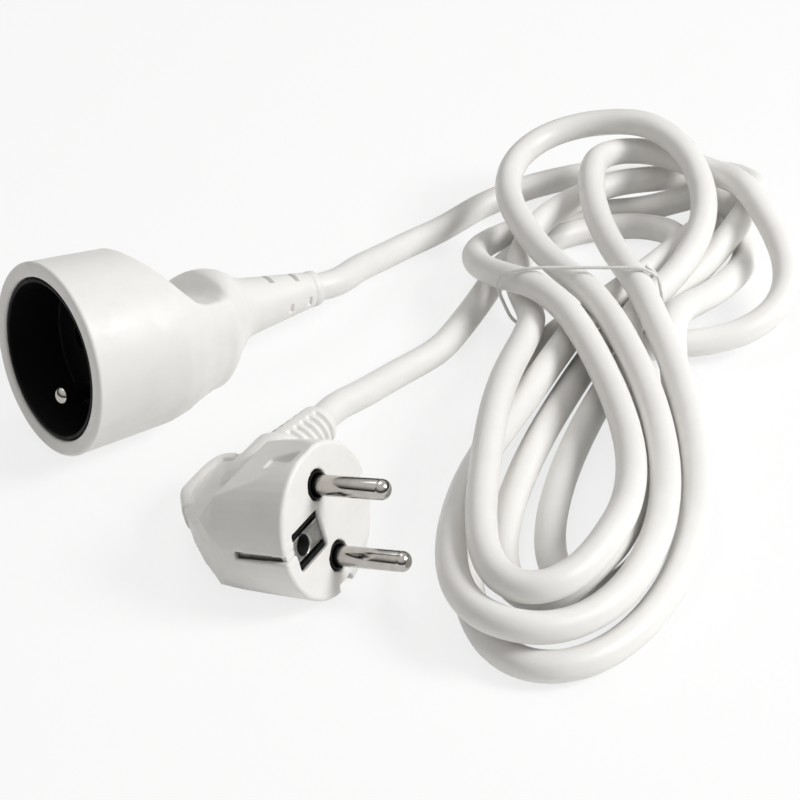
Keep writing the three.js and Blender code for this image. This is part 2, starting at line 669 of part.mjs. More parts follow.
// The plate covers the pin holes at rest and clears them when it has slid toward -z.
function socketShutter() {
  const windowR = PIN_R + WINDOW_CLEAR;
  const halfW = PIN_Y + windowR + SHUTTER_EDGE;
  const top = SHUTTER_TRAVEL + windowR + SHUTTER_EDGE;
  const near = SHUTTER_X;
  const far = SHUTTER_X + SHUTTER_T;
  const slotHalfW = SPRING_MEAN_R + SPRING_WIRE_D / 2 + FIT_GAP;
  return cut(
    join(
      block([near, -halfW, -SHUTTER_SHOULDER], [far, halfW, top]),
      block([near, -SHUTTER_FOOT_HALF_W, -SHUTTER_FOOT], [far, SHUTTER_FOOT_HALF_W, 0]),
    ),
    ...[-PIN_Y, PIN_Y].map((y) =>
      rod(near - OVERRUN, far + OVERRUN, windowR, { at: [0, y, SHUTTER_TRAVEL] })),
    block([near - OVERRUN, -windowR, EARTH_OFFSET - windowR], [far + OVERRUN, windowR, top + OVERRUN]),
    block([near - OVERRUN, -slotHalfW, -SHUTTER_FOOT - OVERRUN], [far + OVERRUN, slotHalfW, SPRING_SEAT]),
  );
}

function shutterSpring() {
  const topEnd = SPRING_SEAT - FIT_GAP - SPRING_WIRE_D / 2;
  const lowEnd = -(CARRIER_R - CARRIER_RING) + FIT_GAP + SPRING_WIRE_D;
  const count = SPRING_TURNS * SPRING_TURN_STEPS;
  const points = Array.from({ length: count + 1 }, (_, k) => {
    const angle = (2 * PI * k) / SPRING_TURN_STEPS;
    return new THREE.Vector3(
      SHUTTER_X + SHUTTER_T / 2 + SPRING_MEAN_R * Math.cos(angle),
      SPRING_MEAN_R * Math.sin(angle),
      topEnd + ((lowEnd - topEnd) * k) / count,
    );
  });
  return ringTube(points, SPRING_WIRE_D / 2, SPRING_SIDES);
}

function contactCarrier() {
  const pocket = (at) => rod(CARRIER_X - OVERRUN, CARRIER_X + TULIP_L + 2 * FIT_GAP, TULIP_R + FIT_GAP, { at });
  const tailHole = (at) => rod(CARRIER_X, CARRIER_END + OVERRUN, TAIL_HOLE_R, { at });
  return cut(
    rod(SHUTTER_X, CARRIER_END, CARRIER_R, ROUND),
    beyondFlat(FLAT_START, CARRIER_END + OVERRUN, ROOM_FLAT - FIT_GAP),
    rod(CUP_END, CARRIER_X, CARRIER_R - CARRIER_RING, ROUND),
    pocket(AT_LIVE),
    pocket(AT_NEUTRAL),
    rod(CARRIER_X - OVERRUN, CARRIER_X + EARTH_SHANK_L + FIT_GAP, PIN_R + FIT_GAP, { at: AT_EARTH }),
    ...[AT_LIVE, AT_NEUTRAL, AT_EARTH].map(tailHole),
  );
}

// A slit sleeve that grips a pin, with a tail behind.
function tulipContact(at) {
  const front = CARRIER_X + FIT_GAP;
  const back = front + TULIP_L;
  const inner = TULIP_R - TULIP_WALL;
  const [, y, z] = at;
  const slit = TULIP_SLIT / 2;
  return cut(
    join(rod(front, back, TULIP_R, { at }), rod(back - FIT_GAP, SOCKET_TAIL_END, TAIL_R, { at })),
    rod(front - OVERRUN, back - TULIP_BASE, inner, { at }),
    block(
      [front - OVERRUN, y - slit, z - TULIP_R - OVERRUN],
      [back - 2 * TULIP_BASE, y + slit, z + TULIP_R + OVERRUN],
    ),
  );
}

function socketBoot() {
  const collar = BOOT_END - BOOT_COLLAR_L;
  const shell = turned([
    [FLANGE_START, 0],
    [FLANGE_START, BOOT_FLANGE_R],
    [BOOT_NECK_START, BOOT_FLANGE_R],
    [BOOT_NECK_START, BOOT_NECK_R],
    [BOOT_START, BOOT_NECK_R],
    [BOOT_START, BOOT_BASE_R],
    ...BOOT_SHAPE_SHARES.map(([l, r]) => [BOOT_START + l * BOOT_L, r * BOOT_BASE_R]),
    [collar, BOOT_END_R - BOOT_COLLAR_STEP],
    [collar, BOOT_END_R],
    [BOOT_END, BOOT_END_R],
    [BOOT_END, 0],
  ], ROUND);
  const slots = (shares, turn) => shares.flatMap((share) => [0, PI].map((side) => {
    const box = new THREE.BoxGeometry(BOOT_SLOT_L, BOOT_SLOT_W, BOOT_FLANGE_R);
    box.translate(BOOT_START + share * BOOT_L, 0, BOOT_SLOT_FLOOR + BOOT_FLANGE_R / 2);
    return solid(box.rotateX(turn + side));
  }));
  return cut(
    shell,
    rod(FLANGE_START - OVERRUN, BOOT_END + OVERRUN, BOOT_BORE_R),
    ...slots(BOOT_SLOT_SHARES, 0),
    ...slots(BOOT_SIDE_SLOT_SHARES, PI / 2),
  );
}

// A core from its crimp to the place where the cord's sheath begins.
function socketCore([, y, z], place) {
  const start = SOCKET_TAIL_END + FIT_GAP;
  const [cy, cz] = [CORE_CIRCLE_R * Math.cos(place), CORE_CIRCLE_R * Math.sin(place)];
  return core([
    [start, y, z],
    [start + CORE_D, y, z],
    [FLANGE_START, cy, cz],
    [FLANGE_START + CORE_D, cy, cz],
    [BOOT_END - CORE_D, cy, cz],
    [BOOT_END, cy, cz],
  ]);
}

// Plug, its face at x = 0, the body behind it

const PIN_UP = [0, 0, PIN_Y];
const PIN_DOWN = [0, 0, -PIN_Y];
const PLUG_EARTH = [0, EARTH_SIDE, 0];
const BOSS = { axis: "y", at: [-BOSS_AXIS, 0, 0] };

// Room behind the crimps, lower toward the grip, where the cores turn to the cord's exit.
function coreRoom() {
  const half = CORE_ROOM_SHARES.map(([l, h]) => [-l * FACET_L, h * FACET_END]);
  const outline = [...half, ...half.map(([x, z]) => [x, -z]).reverse()];
  const depth = EARTH_OFFSET + CORE_ROOM_LOW;
  const room = slab(outline, depth).rotateX(PI / 2);
  return solid(room.translate(0, EARTH_OFFSET - depth / 2, 0));
}

// Room for the boot's flange, narrower where the boss is round.
function bossRoom() {
  const start = BOSS_START + FACE_WALL;
  const end = PLUG_NECK_START + FIT_GAP;
  const wide = PLUG_FLANGE_R + FIT_GAP;
  return turned([
    [start, 0],
    [start, BOSS_ROUND_SHARES[1][1] * BOSS_R - BOSS_WALL],
    [start + BOSS_R - wide + FACE_WALL, wide],
    [end, wide],
    [end, 0],
  ], BOSS);
}

function plugBody() {
  const round = turned([
    [-GRIP_L, 0],
    [-GRIP_L, FACE_R * FLARE_SHARES[2]],
    [-BOSS_AXIS, FACE_R * FLARE_SHARES[1]],
    [-FACET_L, FACE_R * FLARE_SHARES[0]],
    [-FACE_EDGE, FACE_R],
    [0, FACE_R - FACE_EDGE],
    [0, 0],
  ], ROUND);
  const half = [[0, FACE_R], [-FACET_L, FACET_END], ...GRIP_SHARES.map(([l, h]) =>
    [-FACET_L - l * (GRIP_L - FACET_L), h * FACET_END])];
  const top = [...half, ...half.map(([x, z]) => [x, -z]).reverse()];
  const width = FACE_R * FLARE_SHARES[2] * 2;
  const sideView = SIDE_SHARES.map(([l, r]) => [-l * GRIP_L, r * FACE_R]);
  const boss = turned([
    [BOSS_START, 0],
    ...BOSS_ROUND_SHARES.map(([l, r]) => [BOSS_START + l * BOSS_R, r * BOSS_R]),
    [BOSS_END, BOSS_R],
    [BOSS_END, 0],
  ], { ...BOSS, sides: ROUND_SIDES });
  const outside = join(
    round
      .intersect(solid(slab(top, width).rotateX(PI / 2)))
      .intersect(solid(slab(sideView, width))),
    boss,
  );
  const slotHalfW = STRIP_HALF_W + FIT_GAP;
  const clipFloor = CLIP_Y - STRIP_T - FIT_GAP;
  const pocketEnd = FACE_R - POCKET_WALL;
  const chamber = rod(-BRIDGE_END - FIT_GAP, -FACE_WALL, BRIDGE_R + FIT_GAP, ROUND);
  const crimpHalf = PIN_Y + CRIMP_R + FIT_GAP;
  return cut(
    outside,
    chamber,
    ...[PIN_UP, PIN_DOWN].map((at) => rod(-BRIDGE_X, OVERRUN, HOLE_R + BRIDGE_BOSS_WALL, { at })),
    block([-FACE_WALL - OVERRUN, -WINDOW_FAR, -WINDOW_HALF_W], [OVERRUN, -WINDOW_NEAR, WINDOW_HALF_W]),
    block([-CLIP_SLOT_L, -pocketEnd, -slotHalfW], [-FACE_WALL, -clipFloor, slotHalfW]),
    block([-CLIP_SLOT_L, clipFloor, -slotHalfW], [-FACE_WALL, pocketEnd, slotHalfW]),
    block([-CLIP_SLOT_L, -FACE_R - OVERRUN, 0], [OVERRUN, -clipFloor, SLIT_W]),
    block([-CLIP_SLOT_L, clipFloor, 0], [OVERRUN, FACE_R + OVERRUN, SLIT_W]),
    block([-FACE_WALL - OVERRUN, -FACE_R, 0], [OVERRUN, -WINDOW_FAR, SLIT_W]),
    block([-BRIDGE_X, -pocketEnd, -slotHalfW], [-FACE_WALL, pocketEnd, slotHalfW]),
    block(
      [-GUIDE_START - GUIDE_L, -GUIDE_HALF_W, FACE_R - GUIDE_DEPTH],
      [-GUIDE_START, GUIDE_HALF_W, FACE_R + OVERRUN],
    ),
    block(
      [-GUIDE_START - GUIDE_L, -GUIDE_HALF_W, -FACE_R - OVERRUN],
      [OVERRUN, GUIDE_HALF_W, -FACE_R + GUIDE_DEPTH],
    ),
    block(
      [-CRIMP_ROOM_END, EARTH_SIDE - CRIMP_R - FIT_GAP, -crimpHalf],
      [-BRIDGE_END, CRIMP_R + FIT_GAP, crimpHalf],
    ),
    coreRoom(),
    bossRoom(),
    rod(PLUG_FLANGE_START, BOSS_END + OVERRUN, PLUG_NECK_R + FIT_GAP, BOSS),
  );
}

function plugBridge() {
  const barInner = STRIP_HALF_W + 2 * FIT_GAP;
  const bars = [-1, 1].map((side) => {
    const edges = [side * barInner, side * (barInner + BAR_T)].sort((a, b) => a - b);
    return block(
      [-BRIDGE_X - OVERRUN, -WINDOW_FAR + FIT_GAP, edges[0]],
      [-BAR_SETBACK, -WINDOW_NEAR - FIT_GAP, edges[1]],
    );
  });
  const collars = [PIN_UP, PIN_DOWN].map((at) =>
    rod(-BRIDGE_X - OVERRUN, 0, HOLE_R + BRIDGE_BOSS_WALL - FIT_GAP, { at }));
  const holes = [PIN_UP, PIN_DOWN].flatMap((at) => [
    rod(-PIN_SHANK_L - FIT_GAP, OVERRUN, PIN_R + FIT_GAP, { at }),
    rod(-BRIDGE_END - OVERRUN, -PIN_SHANK_L, TAIL_HOLE_R, { at }),
  ]);
  const tubeR = PIN_R + HOLE_CLEAR + EARTH_TUBE_WALL + FIT_GAP;
  const tubeEnd = BRIDGE_X - FIT_GAP + EARTH_TUBE_L + FIT_GAP;
  return cut(
    join(rod(-BRIDGE_END, -BRIDGE_X, BRIDGE_R, ROUND), ...bars, ...collars),
    ...holes,
    rod(-tubeEnd, OVERRUN, tubeR, { at: PLUG_EARTH }),
    rod(-BRIDGE_END - OVERRUN, -tubeEnd + OVERRUN, TAIL_HOLE_R, { at: PLUG_EARTH }),
  );
}

// One strip across the plug with a clip at each side and a tube that takes an earth pin.
function earthContact() {
  const front = -FACE_WALL - FIT_GAP;
  const back = front - STRIP_T;
  const clip = (side) => {
    const edges = [side * CLIP_Y, side * (CLIP_Y - STRIP_T)].sort((a, b) => a - b);
    return block(
      [front - CLIP_L, edges[0], -STRIP_HALF_W], [front, edges[1], STRIP_HALF_W]);
  };
  const holeR = PIN_R + HOLE_CLEAR;
  const tubeEnd = back - EARTH_TUBE_L;
  return cut(
    join(
      block([back, -CLIP_Y, -STRIP_HALF_W], [front, CLIP_Y, STRIP_HALF_W]),
      clip(-1),
      clip(1),
      rod(tubeEnd, front, holeR + EARTH_TUBE_WALL, { at: PLUG_EARTH }),
      rod(-TAIL_END, tubeEnd + FIT_GAP, TAIL_R, { at: PLUG_EARTH }),
    ),
    rod(tubeEnd + STRIP_T, OVERRUN, holeR, { at: PLUG_EARTH }),
  );
}

function plugBoot() {
  const shell = turned([
    [PLUG_FLANGE_START, 0],
    [PLUG_FLANGE_START, PLUG_FLANGE_R],
    [PLUG_NECK_START, PLUG_FLANGE_R],
    [PLUG_NECK_START, PLUG_NECK_R],
    [PLUG_BOOT_START, PLUG_NECK_R],
    [PLUG_BOOT_START, PLUG_BOOT_BASE_R],
    [PLUG_BOOT_END, PLUG_BOOT_END_R],
    [PLUG_BOOT_END, 0],
  ], { ...BOSS, sides: ROUND_SIDES });
  const pitch = PLUG_BOOT_L / (RIB_GROOVES + 1);
  const grooves = Array.from({ length: RIB_GROOVES }, (_, k) => {
    const middle = PLUG_BOOT_START + pitch * (k + 1);
    return ring(middle - RIB_GROOVE_L / 2, middle + RIB_GROOVE_L / 2,
      RIB_GROOVE_FLOOR, PLUG_BOOT_BASE_R + OVERRUN, BOSS);
  });
  const spine = block(
    [-BOSS_AXIS - RIB_SPINE_W / 2, PLUG_BOOT_START - OVERRUN, -BOSS_R * 2],
    [-BOSS_AXIS + RIB_SPINE_W / 2, PLUG_BOOT_END + OVERRUN, BOSS_R * 2],
  );
  return cut(
    shell,
    rod(PLUG_FLANGE_START - OVERRUN, PLUG_BOOT_END + OVERRUN, BOOT_BORE_R, BOSS),
    ...grooves.map((groove) => cut(groove, spine)),
  );
}

// A core from its crimp round to the cord's exit; bend lists the places between.
function plugCore([, y, z], place, bend) {
  const side = Math.sign(z);
  const start = -TAIL_END - FIT_GAP;
  const x = -BOSS_AXIS + CORE_CIRCLE_R * Math.cos(place);
  const up = CORE_CIRCLE_R * Math.sin(place);
  return core([
    [start, y, z],
    [start - CORE_D, y, z],
    ...bend.map(([l, w, h]) => [-l * BOSS_AXIS, w * PLUG_FLANGE_START, h * PIN_Y * side]),
    [x, PLUG_FLANGE_START, up],
    [x, PLUG_FLANGE_START + CORE_D, up],
    [x, PLUG_BOOT_END - CORE_D, up],
    [x, PLUG_BOOT_END, up],
  ]);
}

// Everything in its place

const socketFrame = new THREE.Matrix4()
  .makeRotationY(radians(SOCKET_TILT))
  .multiply(new THREE.Matrix4().makeRotationX(radians(EARTH_ROLL)));
const body = geometryOf(socketBody());
const boot = geometryOf(socketBoot());
const socketBox = new THREE.Box3();
[body, boot].forEach((geometry) => {
  const turnedCopy = geometry.clone().applyMatrix4(socketFrame);
  turnedCopy.computeBoundingBox();
  socketBox.union(turnedCopy.boundingBox);
});
const socketMiddle = socketBox.getCenter(new THREE.Vector3());
socketFrame.premultiply(
  new THREE.Matrix4().makeTranslation(-socketMiddle.x, -socketMiddle.y, -socketBox.min.z));
const plugFrame = new THREE.Matrix4()
  .makeTranslation(...PLUG_AT, FACE_R * Math.cos(PLUG_TILT))
  .multiply(new THREE.Matrix4().makeRotationZ(radians(PLUG_TURN)))
  .multiply(new THREE.Matrix4().makeRotationY(-PLUG_TILT));
const asBuilt = new THREE.Matrix4();

// A lead from an exit to an end of the hank, straight and square at both.
function lead(frame, exit, way, points, joint, onward) {
  const from = new THREE.Vector3(...exit).applyMatrix4(frame);
  const out = new THREE.Vector3(...way).transformDirection(frame);
  const meets = joint.clone().addScaledVector(onward, -FIT_GAP);
  return new THREE.CatmullRomCurve3([
    from.clone().addScaledVector(out, FIT_GAP),
    from.clone().addScaledVector(out, FIT_GAP + CORD_D),
    ...points.map((p) => new THREE.Vector3(...p)),
    meets.clone().addScaledVector(onward, -CORD_D),
    meets,
  ], false, "centripetal");
}

const coarse = inPlace(hankPoints.filter((_, k) => k % 2 === 0));
const end = coarse.length - 1;
const intoHank = coarse[1].clone().sub(coarse[0]).normalize();
const outOfHank = coarse[end - 1].clone().sub(coarse[end]).normalize();
const socketLead = lead(
  socketFrame, [BOOT_END, 0, 0], [1, 0, 0], SOCKET_LEAD_POINTS, coarse[0], intoHank);
const plugLead = lead(
  plugFrame, [-BOSS_AXIS, PLUG_BOOT_END, 0], [0, 1, 0], PLUG_LEAD_POINTS, coarse[end], outOfHank);
const leadTube = (curve) => tube(curve, CORD_R, LEAD_STEPS, LEAD_SIDES);
const third = (2 * PI) / 3;

const PIECES = [
  ["socket_body", body, WHITE_PVC, socketFrame],
  ["socket_boot", boot, WHITE_PVC, socketFrame],
  ["socket_insert", socketInsert(), BLACK_PLASTIC, socketFrame],
  ["socket_shutter", socketShutter(), GREY_PLASTIC, socketFrame],
  ["shutter_spring", shutterSpring(), STEEL, socketFrame],
  ["contact_carrier", contactCarrier(), GREY_PLASTIC, socketFrame],
  ["socket_live_contact", tulipContact(AT_LIVE), BRASS, socketFrame],
  ["socket_neutral_contact", tulipContact(AT_NEUTRAL), BRASS, socketFrame],
  ["socket_earth_pin", pin(EARTH_PIN_SETBACK, CARRIER_X + EARTH_SHANK_L, SOCKET_TAIL_END, AT_EARTH),
    NICKEL, socketFrame],
  ["socket_live_crimp", crimp(SOCKET_TAIL_END, AT_LIVE), STEEL, socketFrame],
  ["socket_neutral_crimp", crimp(SOCKET_TAIL_END, AT_NEUTRAL), STEEL, socketFrame],
  ["socket_earth_crimp", crimp(SOCKET_TAIL_END, AT_EARTH), STEEL, socketFrame],
  ["socket_live_core", socketCore(AT_LIVE, -PI / 2 - third / 2), CORE_BROWN, socketFrame],
  ["socket_neutral_core", socketCore(AT_NEUTRAL, -PI / 2 + third / 2), CORE_BLUE, socketFrame],
  ["socket_earth_core", socketCore(AT_EARTH, PI / 2), CORE_EARTH, socketFrame],
  ["plug_body", plugBody(), WHITE_PVC, plugFrame],
  ["plug_bridge", plugBridge(), BLACK_PLASTIC, plugFrame],
  ["plug_live_pin", pin(PIN_L, -PIN_SHANK_L, -TAIL_END, PIN_UP), NICKEL, plugFrame],
  ["plug_neutral_pin", pin(PIN_L, -PIN_SHANK_L, -TAIL_END, PIN_DOWN), NICKEL, plugFrame],
  ["plug_earth_contact", earthContact(), STEEL, plugFrame],
  ["plug_live_crimp", crimp(-TAIL_END, PIN_UP), STEEL, plugFrame],
  ["plug_neutral_crimp", crimp(-TAIL_END, PIN_DOWN), STEEL, plugFrame],
  ["plug_earth_crimp", crimp(-TAIL_END, PLUG_EARTH), STEEL, plugFrame],
  ["plug_live_core", plugCore(PIN_UP, third, LIVE_BEND_SHARES), CORE_BROWN, plugFrame],
  ["plug_neutral_core", plugCore(PIN_DOWN, -third, LIVE_BEND_SHARES), CORE_BLUE, plugFrame],
  ["plug_earth_core", plugCore(PLUG_EARTH, 0, EARTH_BEND_SHARES), CORE_EARTH, plugFrame],
  ["plug_boot", plugBoot(), WHITE_PVC, plugFrame],
  ["socket_lead", leadTube(socketLead), CORD_PVC, asBuilt],
  ["coil", ringTube(coarse, CORD_R, HANK_SIDES), CORD_PVC, asBuilt],
  ["plug_lead", leadTube(plugLead), CORD_PVC, asBuilt],
  ["tie", ringTube(inPlace(tiePoints()), TIE_D / 2, TIE_SIDES), TIE_PLASTIC, asBuilt],
];

const extensionCord = new THREE.Group();
extensionCord.name = "extension_cord";
PIECES.forEach(([name, shape, material, frame]) => {
  const geometry = shape instanceof THREE.BufferGeometry ? shape : geometryOf(shape);
  const mesh = new THREE.Mesh(geometry.applyMatrix4(frame), material);
  mesh.name = name;
  extensionCord.add(mesh);
});

export default extensionCord;
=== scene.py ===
"""White household extension cord: trailing socket, tied hank of round flex, angled plug.

Lengths in the sub-assemblies are in millimetres in the part's own frames and become metres when a
surface is put into a mesh.
"""

import json
import logging
import math
from dataclasses import dataclass, field
from enum import Enum
from typing import Any, Callable, Sequence

import bmesh
import bpy
import numpy as np
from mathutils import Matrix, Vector


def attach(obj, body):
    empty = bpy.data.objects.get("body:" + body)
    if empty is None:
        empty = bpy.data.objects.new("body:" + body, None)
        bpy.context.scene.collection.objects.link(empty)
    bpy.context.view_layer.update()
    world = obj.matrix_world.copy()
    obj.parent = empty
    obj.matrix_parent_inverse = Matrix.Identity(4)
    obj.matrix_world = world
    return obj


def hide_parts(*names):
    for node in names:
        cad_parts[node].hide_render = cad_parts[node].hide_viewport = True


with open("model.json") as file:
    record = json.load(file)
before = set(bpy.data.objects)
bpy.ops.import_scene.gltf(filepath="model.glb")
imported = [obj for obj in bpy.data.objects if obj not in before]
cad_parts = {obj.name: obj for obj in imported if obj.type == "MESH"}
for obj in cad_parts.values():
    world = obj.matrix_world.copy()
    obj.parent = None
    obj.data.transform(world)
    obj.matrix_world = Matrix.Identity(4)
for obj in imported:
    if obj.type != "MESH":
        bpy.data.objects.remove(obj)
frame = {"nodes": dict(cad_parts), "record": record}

Array = np.ndarray

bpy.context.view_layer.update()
BODY = "cord_set"
MM = 0.001
PHOTO_SIDE = 800
log = logging.getLogger("extension_cord")


class Slot(Enum):
    """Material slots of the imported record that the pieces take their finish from."""

    WHITE_PVC = "white_pvc"
    CORD_PVC = "cord_pvc"
    BLACK = "black_plastic"
    GREY = "grey_plastic"
    NICKEL = "nickel"
    BRASS = "brass"
    STEEL = "steel"
    TIE = "tie_plastic"
    BROWN = "core_brown"
    BLUE = "core_blue"
    EARTH = "core_earth"


# Shader maths


class Graph:
    """The node tree of one material."""

    def __init__(self, name: str) -> None:
        """Makes a material with an empty tree and its output node."""
        self.material = bpy.data.materials.new(name)
        self.material.use_nodes = True
        self.tree = self.material.node_tree
        self.tree.nodes.clear()

    def add(self, kind: str, settings: dict[str, Any] | None = None, **inputs: Any) -> bpy.types.Node:
        """Adds a node.

        Args:
            kind: the node's type, such as ShaderNodeTexNoise.
            settings: attributes of the node, set before its inputs.
            inputs: values or links, named as the sockets are, with _ for a blank.

        Returns:
            The node.
        """
        node = self.tree.nodes.new(kind)
        for name, value in (settings or {}).items():
            setattr(node, name, value)
        for name, value in inputs.items():
            self.feed(node.inputs[name.replace("_", " ")], value)
        return node

    def feed(self, socket: bpy.types.NodeSocket, value: Any) -> None:
        """Links an expression to an input, or sets the input's value."""
        if isinstance(value, Signal):
            self.tree.links.new(value.socket, socket)
        elif isinstance(value, bpy.types.NodeSocket):
            self.tree.links.new(value, socket)
        else:
            socket.default_value = value

    def place(self, scale: tuple[float, float, float] = (1, 1, 1), uv: bool = False) -> bpy.types.NodeSocket:
        """Object coordinates, or the piece's own UV map, stretched by a scale."""
        source = self.add("ShaderNodeTexCoord").outputs["UV" if uv else "Object"]
        if scale == (1, 1, 1):
            return source
        return self.add("ShaderNodeMapping", Vector=source, Scale=scale).outputs[0]

    def noise(self, at: bpy.types.NodeSocket, scale: float, detail: float = 3.0,
              roughness: float = 0.5) -> "Signal":
        """Noise between 0 and 1 at a place."""
        node = self.add("ShaderNodeTexNoise", None, Vector=at, Scale=scale, Detail=detail,
                        Roughness=roughness)
        return Signal(self, node.outputs[0])

    def blend(self, share: Any, first: Sequence[float], second: Sequence[float]) -> bpy.types.NodeSocket:
        """Mixes two colours by a share."""
        node = self.add("ShaderNodeMix", {"data_type": "RGBA"})
        self.feed(node.inputs[0], share)
        for socket, shade in ((node.inputs[6], first), (node.inputs[7], second)):
            self.feed(socket, (*shade, 1.0) if not isinstance(shade, bpy.types.NodeSocket) else shade)
        return node.outputs[2]

    def relief(self, height: "Signal", depth: float, distance: float = 0.001) -> bpy.types.NodeSocket:
        """A bump from a height signal."""
        return self.add("ShaderNodeBump", None, Height=height, Strength=depth,
                        Distance=distance).outputs[0]

    def surface(self, **inputs: Any) -> bpy.types.Material:
        """Ends the tree in one principled shader."""
        shader = self.add("ShaderNodeBsdfPrincipled", None, **inputs)
        self.add("ShaderNodeOutputMaterial", None, Surface=shader.outputs[0])
        return self.material


class Signal:
    """A value socket that takes part in Python expressions."""

    def __init__(self, graph: Graph, socket: bpy.types.NodeSocket) -> None:
        """Wraps a socket of a graph."""
        self.graph, self.socket = graph, socket

    def _math(self, operation: str, first: Any, second: Any = 0.0) -> "Signal":
        """Adds one Math node for two operands."""
        node = self.graph.add("ShaderNodeMath", {"operation": operation})
        self.graph.feed(node.inputs[0], first)
        self.graph.feed(node.inputs[1], second)
        return Signal(self.graph, node.outputs[0])

    def __add__(self, other: Any) -> "Signal":
        """Sum."""
        return self._math("ADD", self, other)

    def __sub__(self, other: Any) -> "Signal":
        """Difference."""
        return self._math("SUBTRACT", self, other)

    def __rsub__(self, other: Any) -> "Signal":
        """Difference from a number."""
        return self._math("SUBTRACT", other, self)

    def __mul__(self, other: Any) -> "Signal":
        """Product."""
        return self._math("MULTIPLY", self, other)

    def __pow__(self, other: Any) -> "Signal":
        """Power."""
        return self._math("POWER", self, other)

    __radd__ = __add__
    __rmul__ = __mul__

    def over(self, edge: float) -> "Signal":
        """1 where the signal is above an edge, else 0."""
        return self._math("GREATER_THAN", self, edge)

    def spread(self, low: float, high: float) -> "Signal":
        """Stretches the middle of a noise to low and high."""
        node = self.graph.add("ShaderNodeMapRange", {"interpolation_type": "SMOOTHSTEP"}, Value=self)
        for socket, value in zip(node.inputs[1:5], (0.32, 0.68, low, high)):
            socket.default_value = value
        return Signal(self.graph, node.outputs[0])


# Finishes


@dataclass(frozen=True)
class MouldedPvc:
    """Soft white PVC from a fine spark-eroded mould, with faint flow marks and handling dust."""

    slot: Slot = Slot.WHITE_PVC
    colour: tuple[float, float, float] = (0.875, 0.865, 0.845)
    dusty: tuple[float, float, float] = (0.8, 0.79, 0.765)
    grain: float = 5200.0
    roughness: float = 0.4

    def material(self) -> bpy.types.Material:
        """Builds the shader tree."""
        g = Graph(self.slot.value)
        at = g.place()
        flow = g.noise(g.place((1, 1, 2.6)), 55, 4, 0.55)
        specks = g.noise(at, self.grain, 2, 0.6)
        handling = g.noise(at, 190, 5, 0.65)
        wear = (flow.spread(0, 1) * handling.spread(0.2, 1)) * 0.55
        rough = handling.spread(self.roughness - 0.05, self.roughness + 0.1) + specks * 0.05
        skin = specks * 0.5 + handling * 0.5 + flow * 0.8
        return g.surface(
            Base_Color=g.blend(wear, self.colour, self.dusty),
            Roughness=rough,
            Normal=g.relief(skin, 0.16, 0.00012),
            Specular_IOR_Level=0.42,
        )


@dataclass(frozen=True)
class SheathPvc:
    """Extruded sheath: fine draw lines along the cord and the faint lay of its three cores."""

    slot: Slot = Slot.CORD_PVC
    colour: tuple[float, float, float] = (0.865, 0.855, 0.835)
    dusty: tuple[float, float, float] = (0.785, 0.775, 0.75)
    roughness: float = 0.37

    def material(self) -> bpy.types.Material:
        """Builds the shader tree, with the UV map's u round the cord and v along it in metres."""
        g = Graph(self.slot.value)
        lines = g.noise(g.place((26, 9, 1), uv=True), 3.0, 4, 0.6)
        lay = g.add("ShaderNodeTexWave", {"wave_type": "BANDS", "bands_direction": "DIAGONAL"},
                    Vector=g.place((1.0, 11.0, 0.0), uv=True), Scale=1.5, Distortion=0.6, Detail=1.0)
        twist = Signal(g, lay.outputs["Fac"])
        pores = g.noise(g.place(), 3400, 2, 0.6)
        scuffs = g.noise(g.place(), 120, 6, 0.7)
        wear = scuffs.spread(0, 0.5) * lines.spread(0.4, 1)
        height = lines * 0.6 + pores * 0.3 + twist * 0.35 + scuffs * 0.6
        return g.surface(
            Base_Color=g.blend(wear, self.colour, self.dusty),
            Roughness=scuffs.spread(self.roughness - 0.04, self.roughness + 0.11) + lines * 0.04,
            Normal=g.relief(height, 0.2, 0.00013),
            Specular_IOR_Level=0.45,
        )


@dataclass(frozen=True)
class DullPlastic:
    """Hard moulded plastic with a fine matt skin and a few rubbed places."""

    slot: Slot
    colour: tuple[float, float, float]
    rubbed: tuple[float, float, float]
    roughness: float = 0.46

    def material(self) -> bpy.types.Material:
        """Builds the shader tree."""
        g = Graph(self.slot.value)
        at = g.place()
        grain = g.noise(at, 4200, 2, 0.6)
        rubs = g.noise(at, 230, 5, 0.7)
        return g.surface(
            Base_Color=g.blend(rubs.spread(0, 1) * grain, self.colour, self.rubbed),
            Roughness=rubs.spread(self.roughness + 0.08, self.roughness - 0.06) + grain * 0.06,
            Normal=g.relief(grain + rubs * 0.5, 0.2, 0.0001),
            Specular_IOR_Level=0.16,
        )


@dataclass(frozen=True)
class PlatedMetal:
    """Plated or stamped metal with fine tool marks, darker stains and a clouded shine."""

    slot: Slot
    colour: tuple[float, float, float]
    stained: tuple[float, float, float]
    roughness: float = 0.16
    marks: float = 900.0

    def material(self) -> bpy.types.Material:
        """Builds the shader tree."""
        g = Graph(self.slot.value)
        at = g.place()
        lines = g.noise(g.place((1.0, 1.0, 0.06)), self.marks * 5, 3, 0.6)
        clouds = g.noise(at, 420, 4, 0.6)
        stains = clouds.spread(0, 1) ** 2
        return g.surface(
            Base_Color=g.blend(stains * 0.5, self.colour, self.stained),
            Metallic=1.0,
            Roughness=clouds.spread(self.roughness - 0.03, self.roughness + 0.06) + lines * 0.05,
            Normal=g.relief(lines, 0.05, 0.00004),
        )


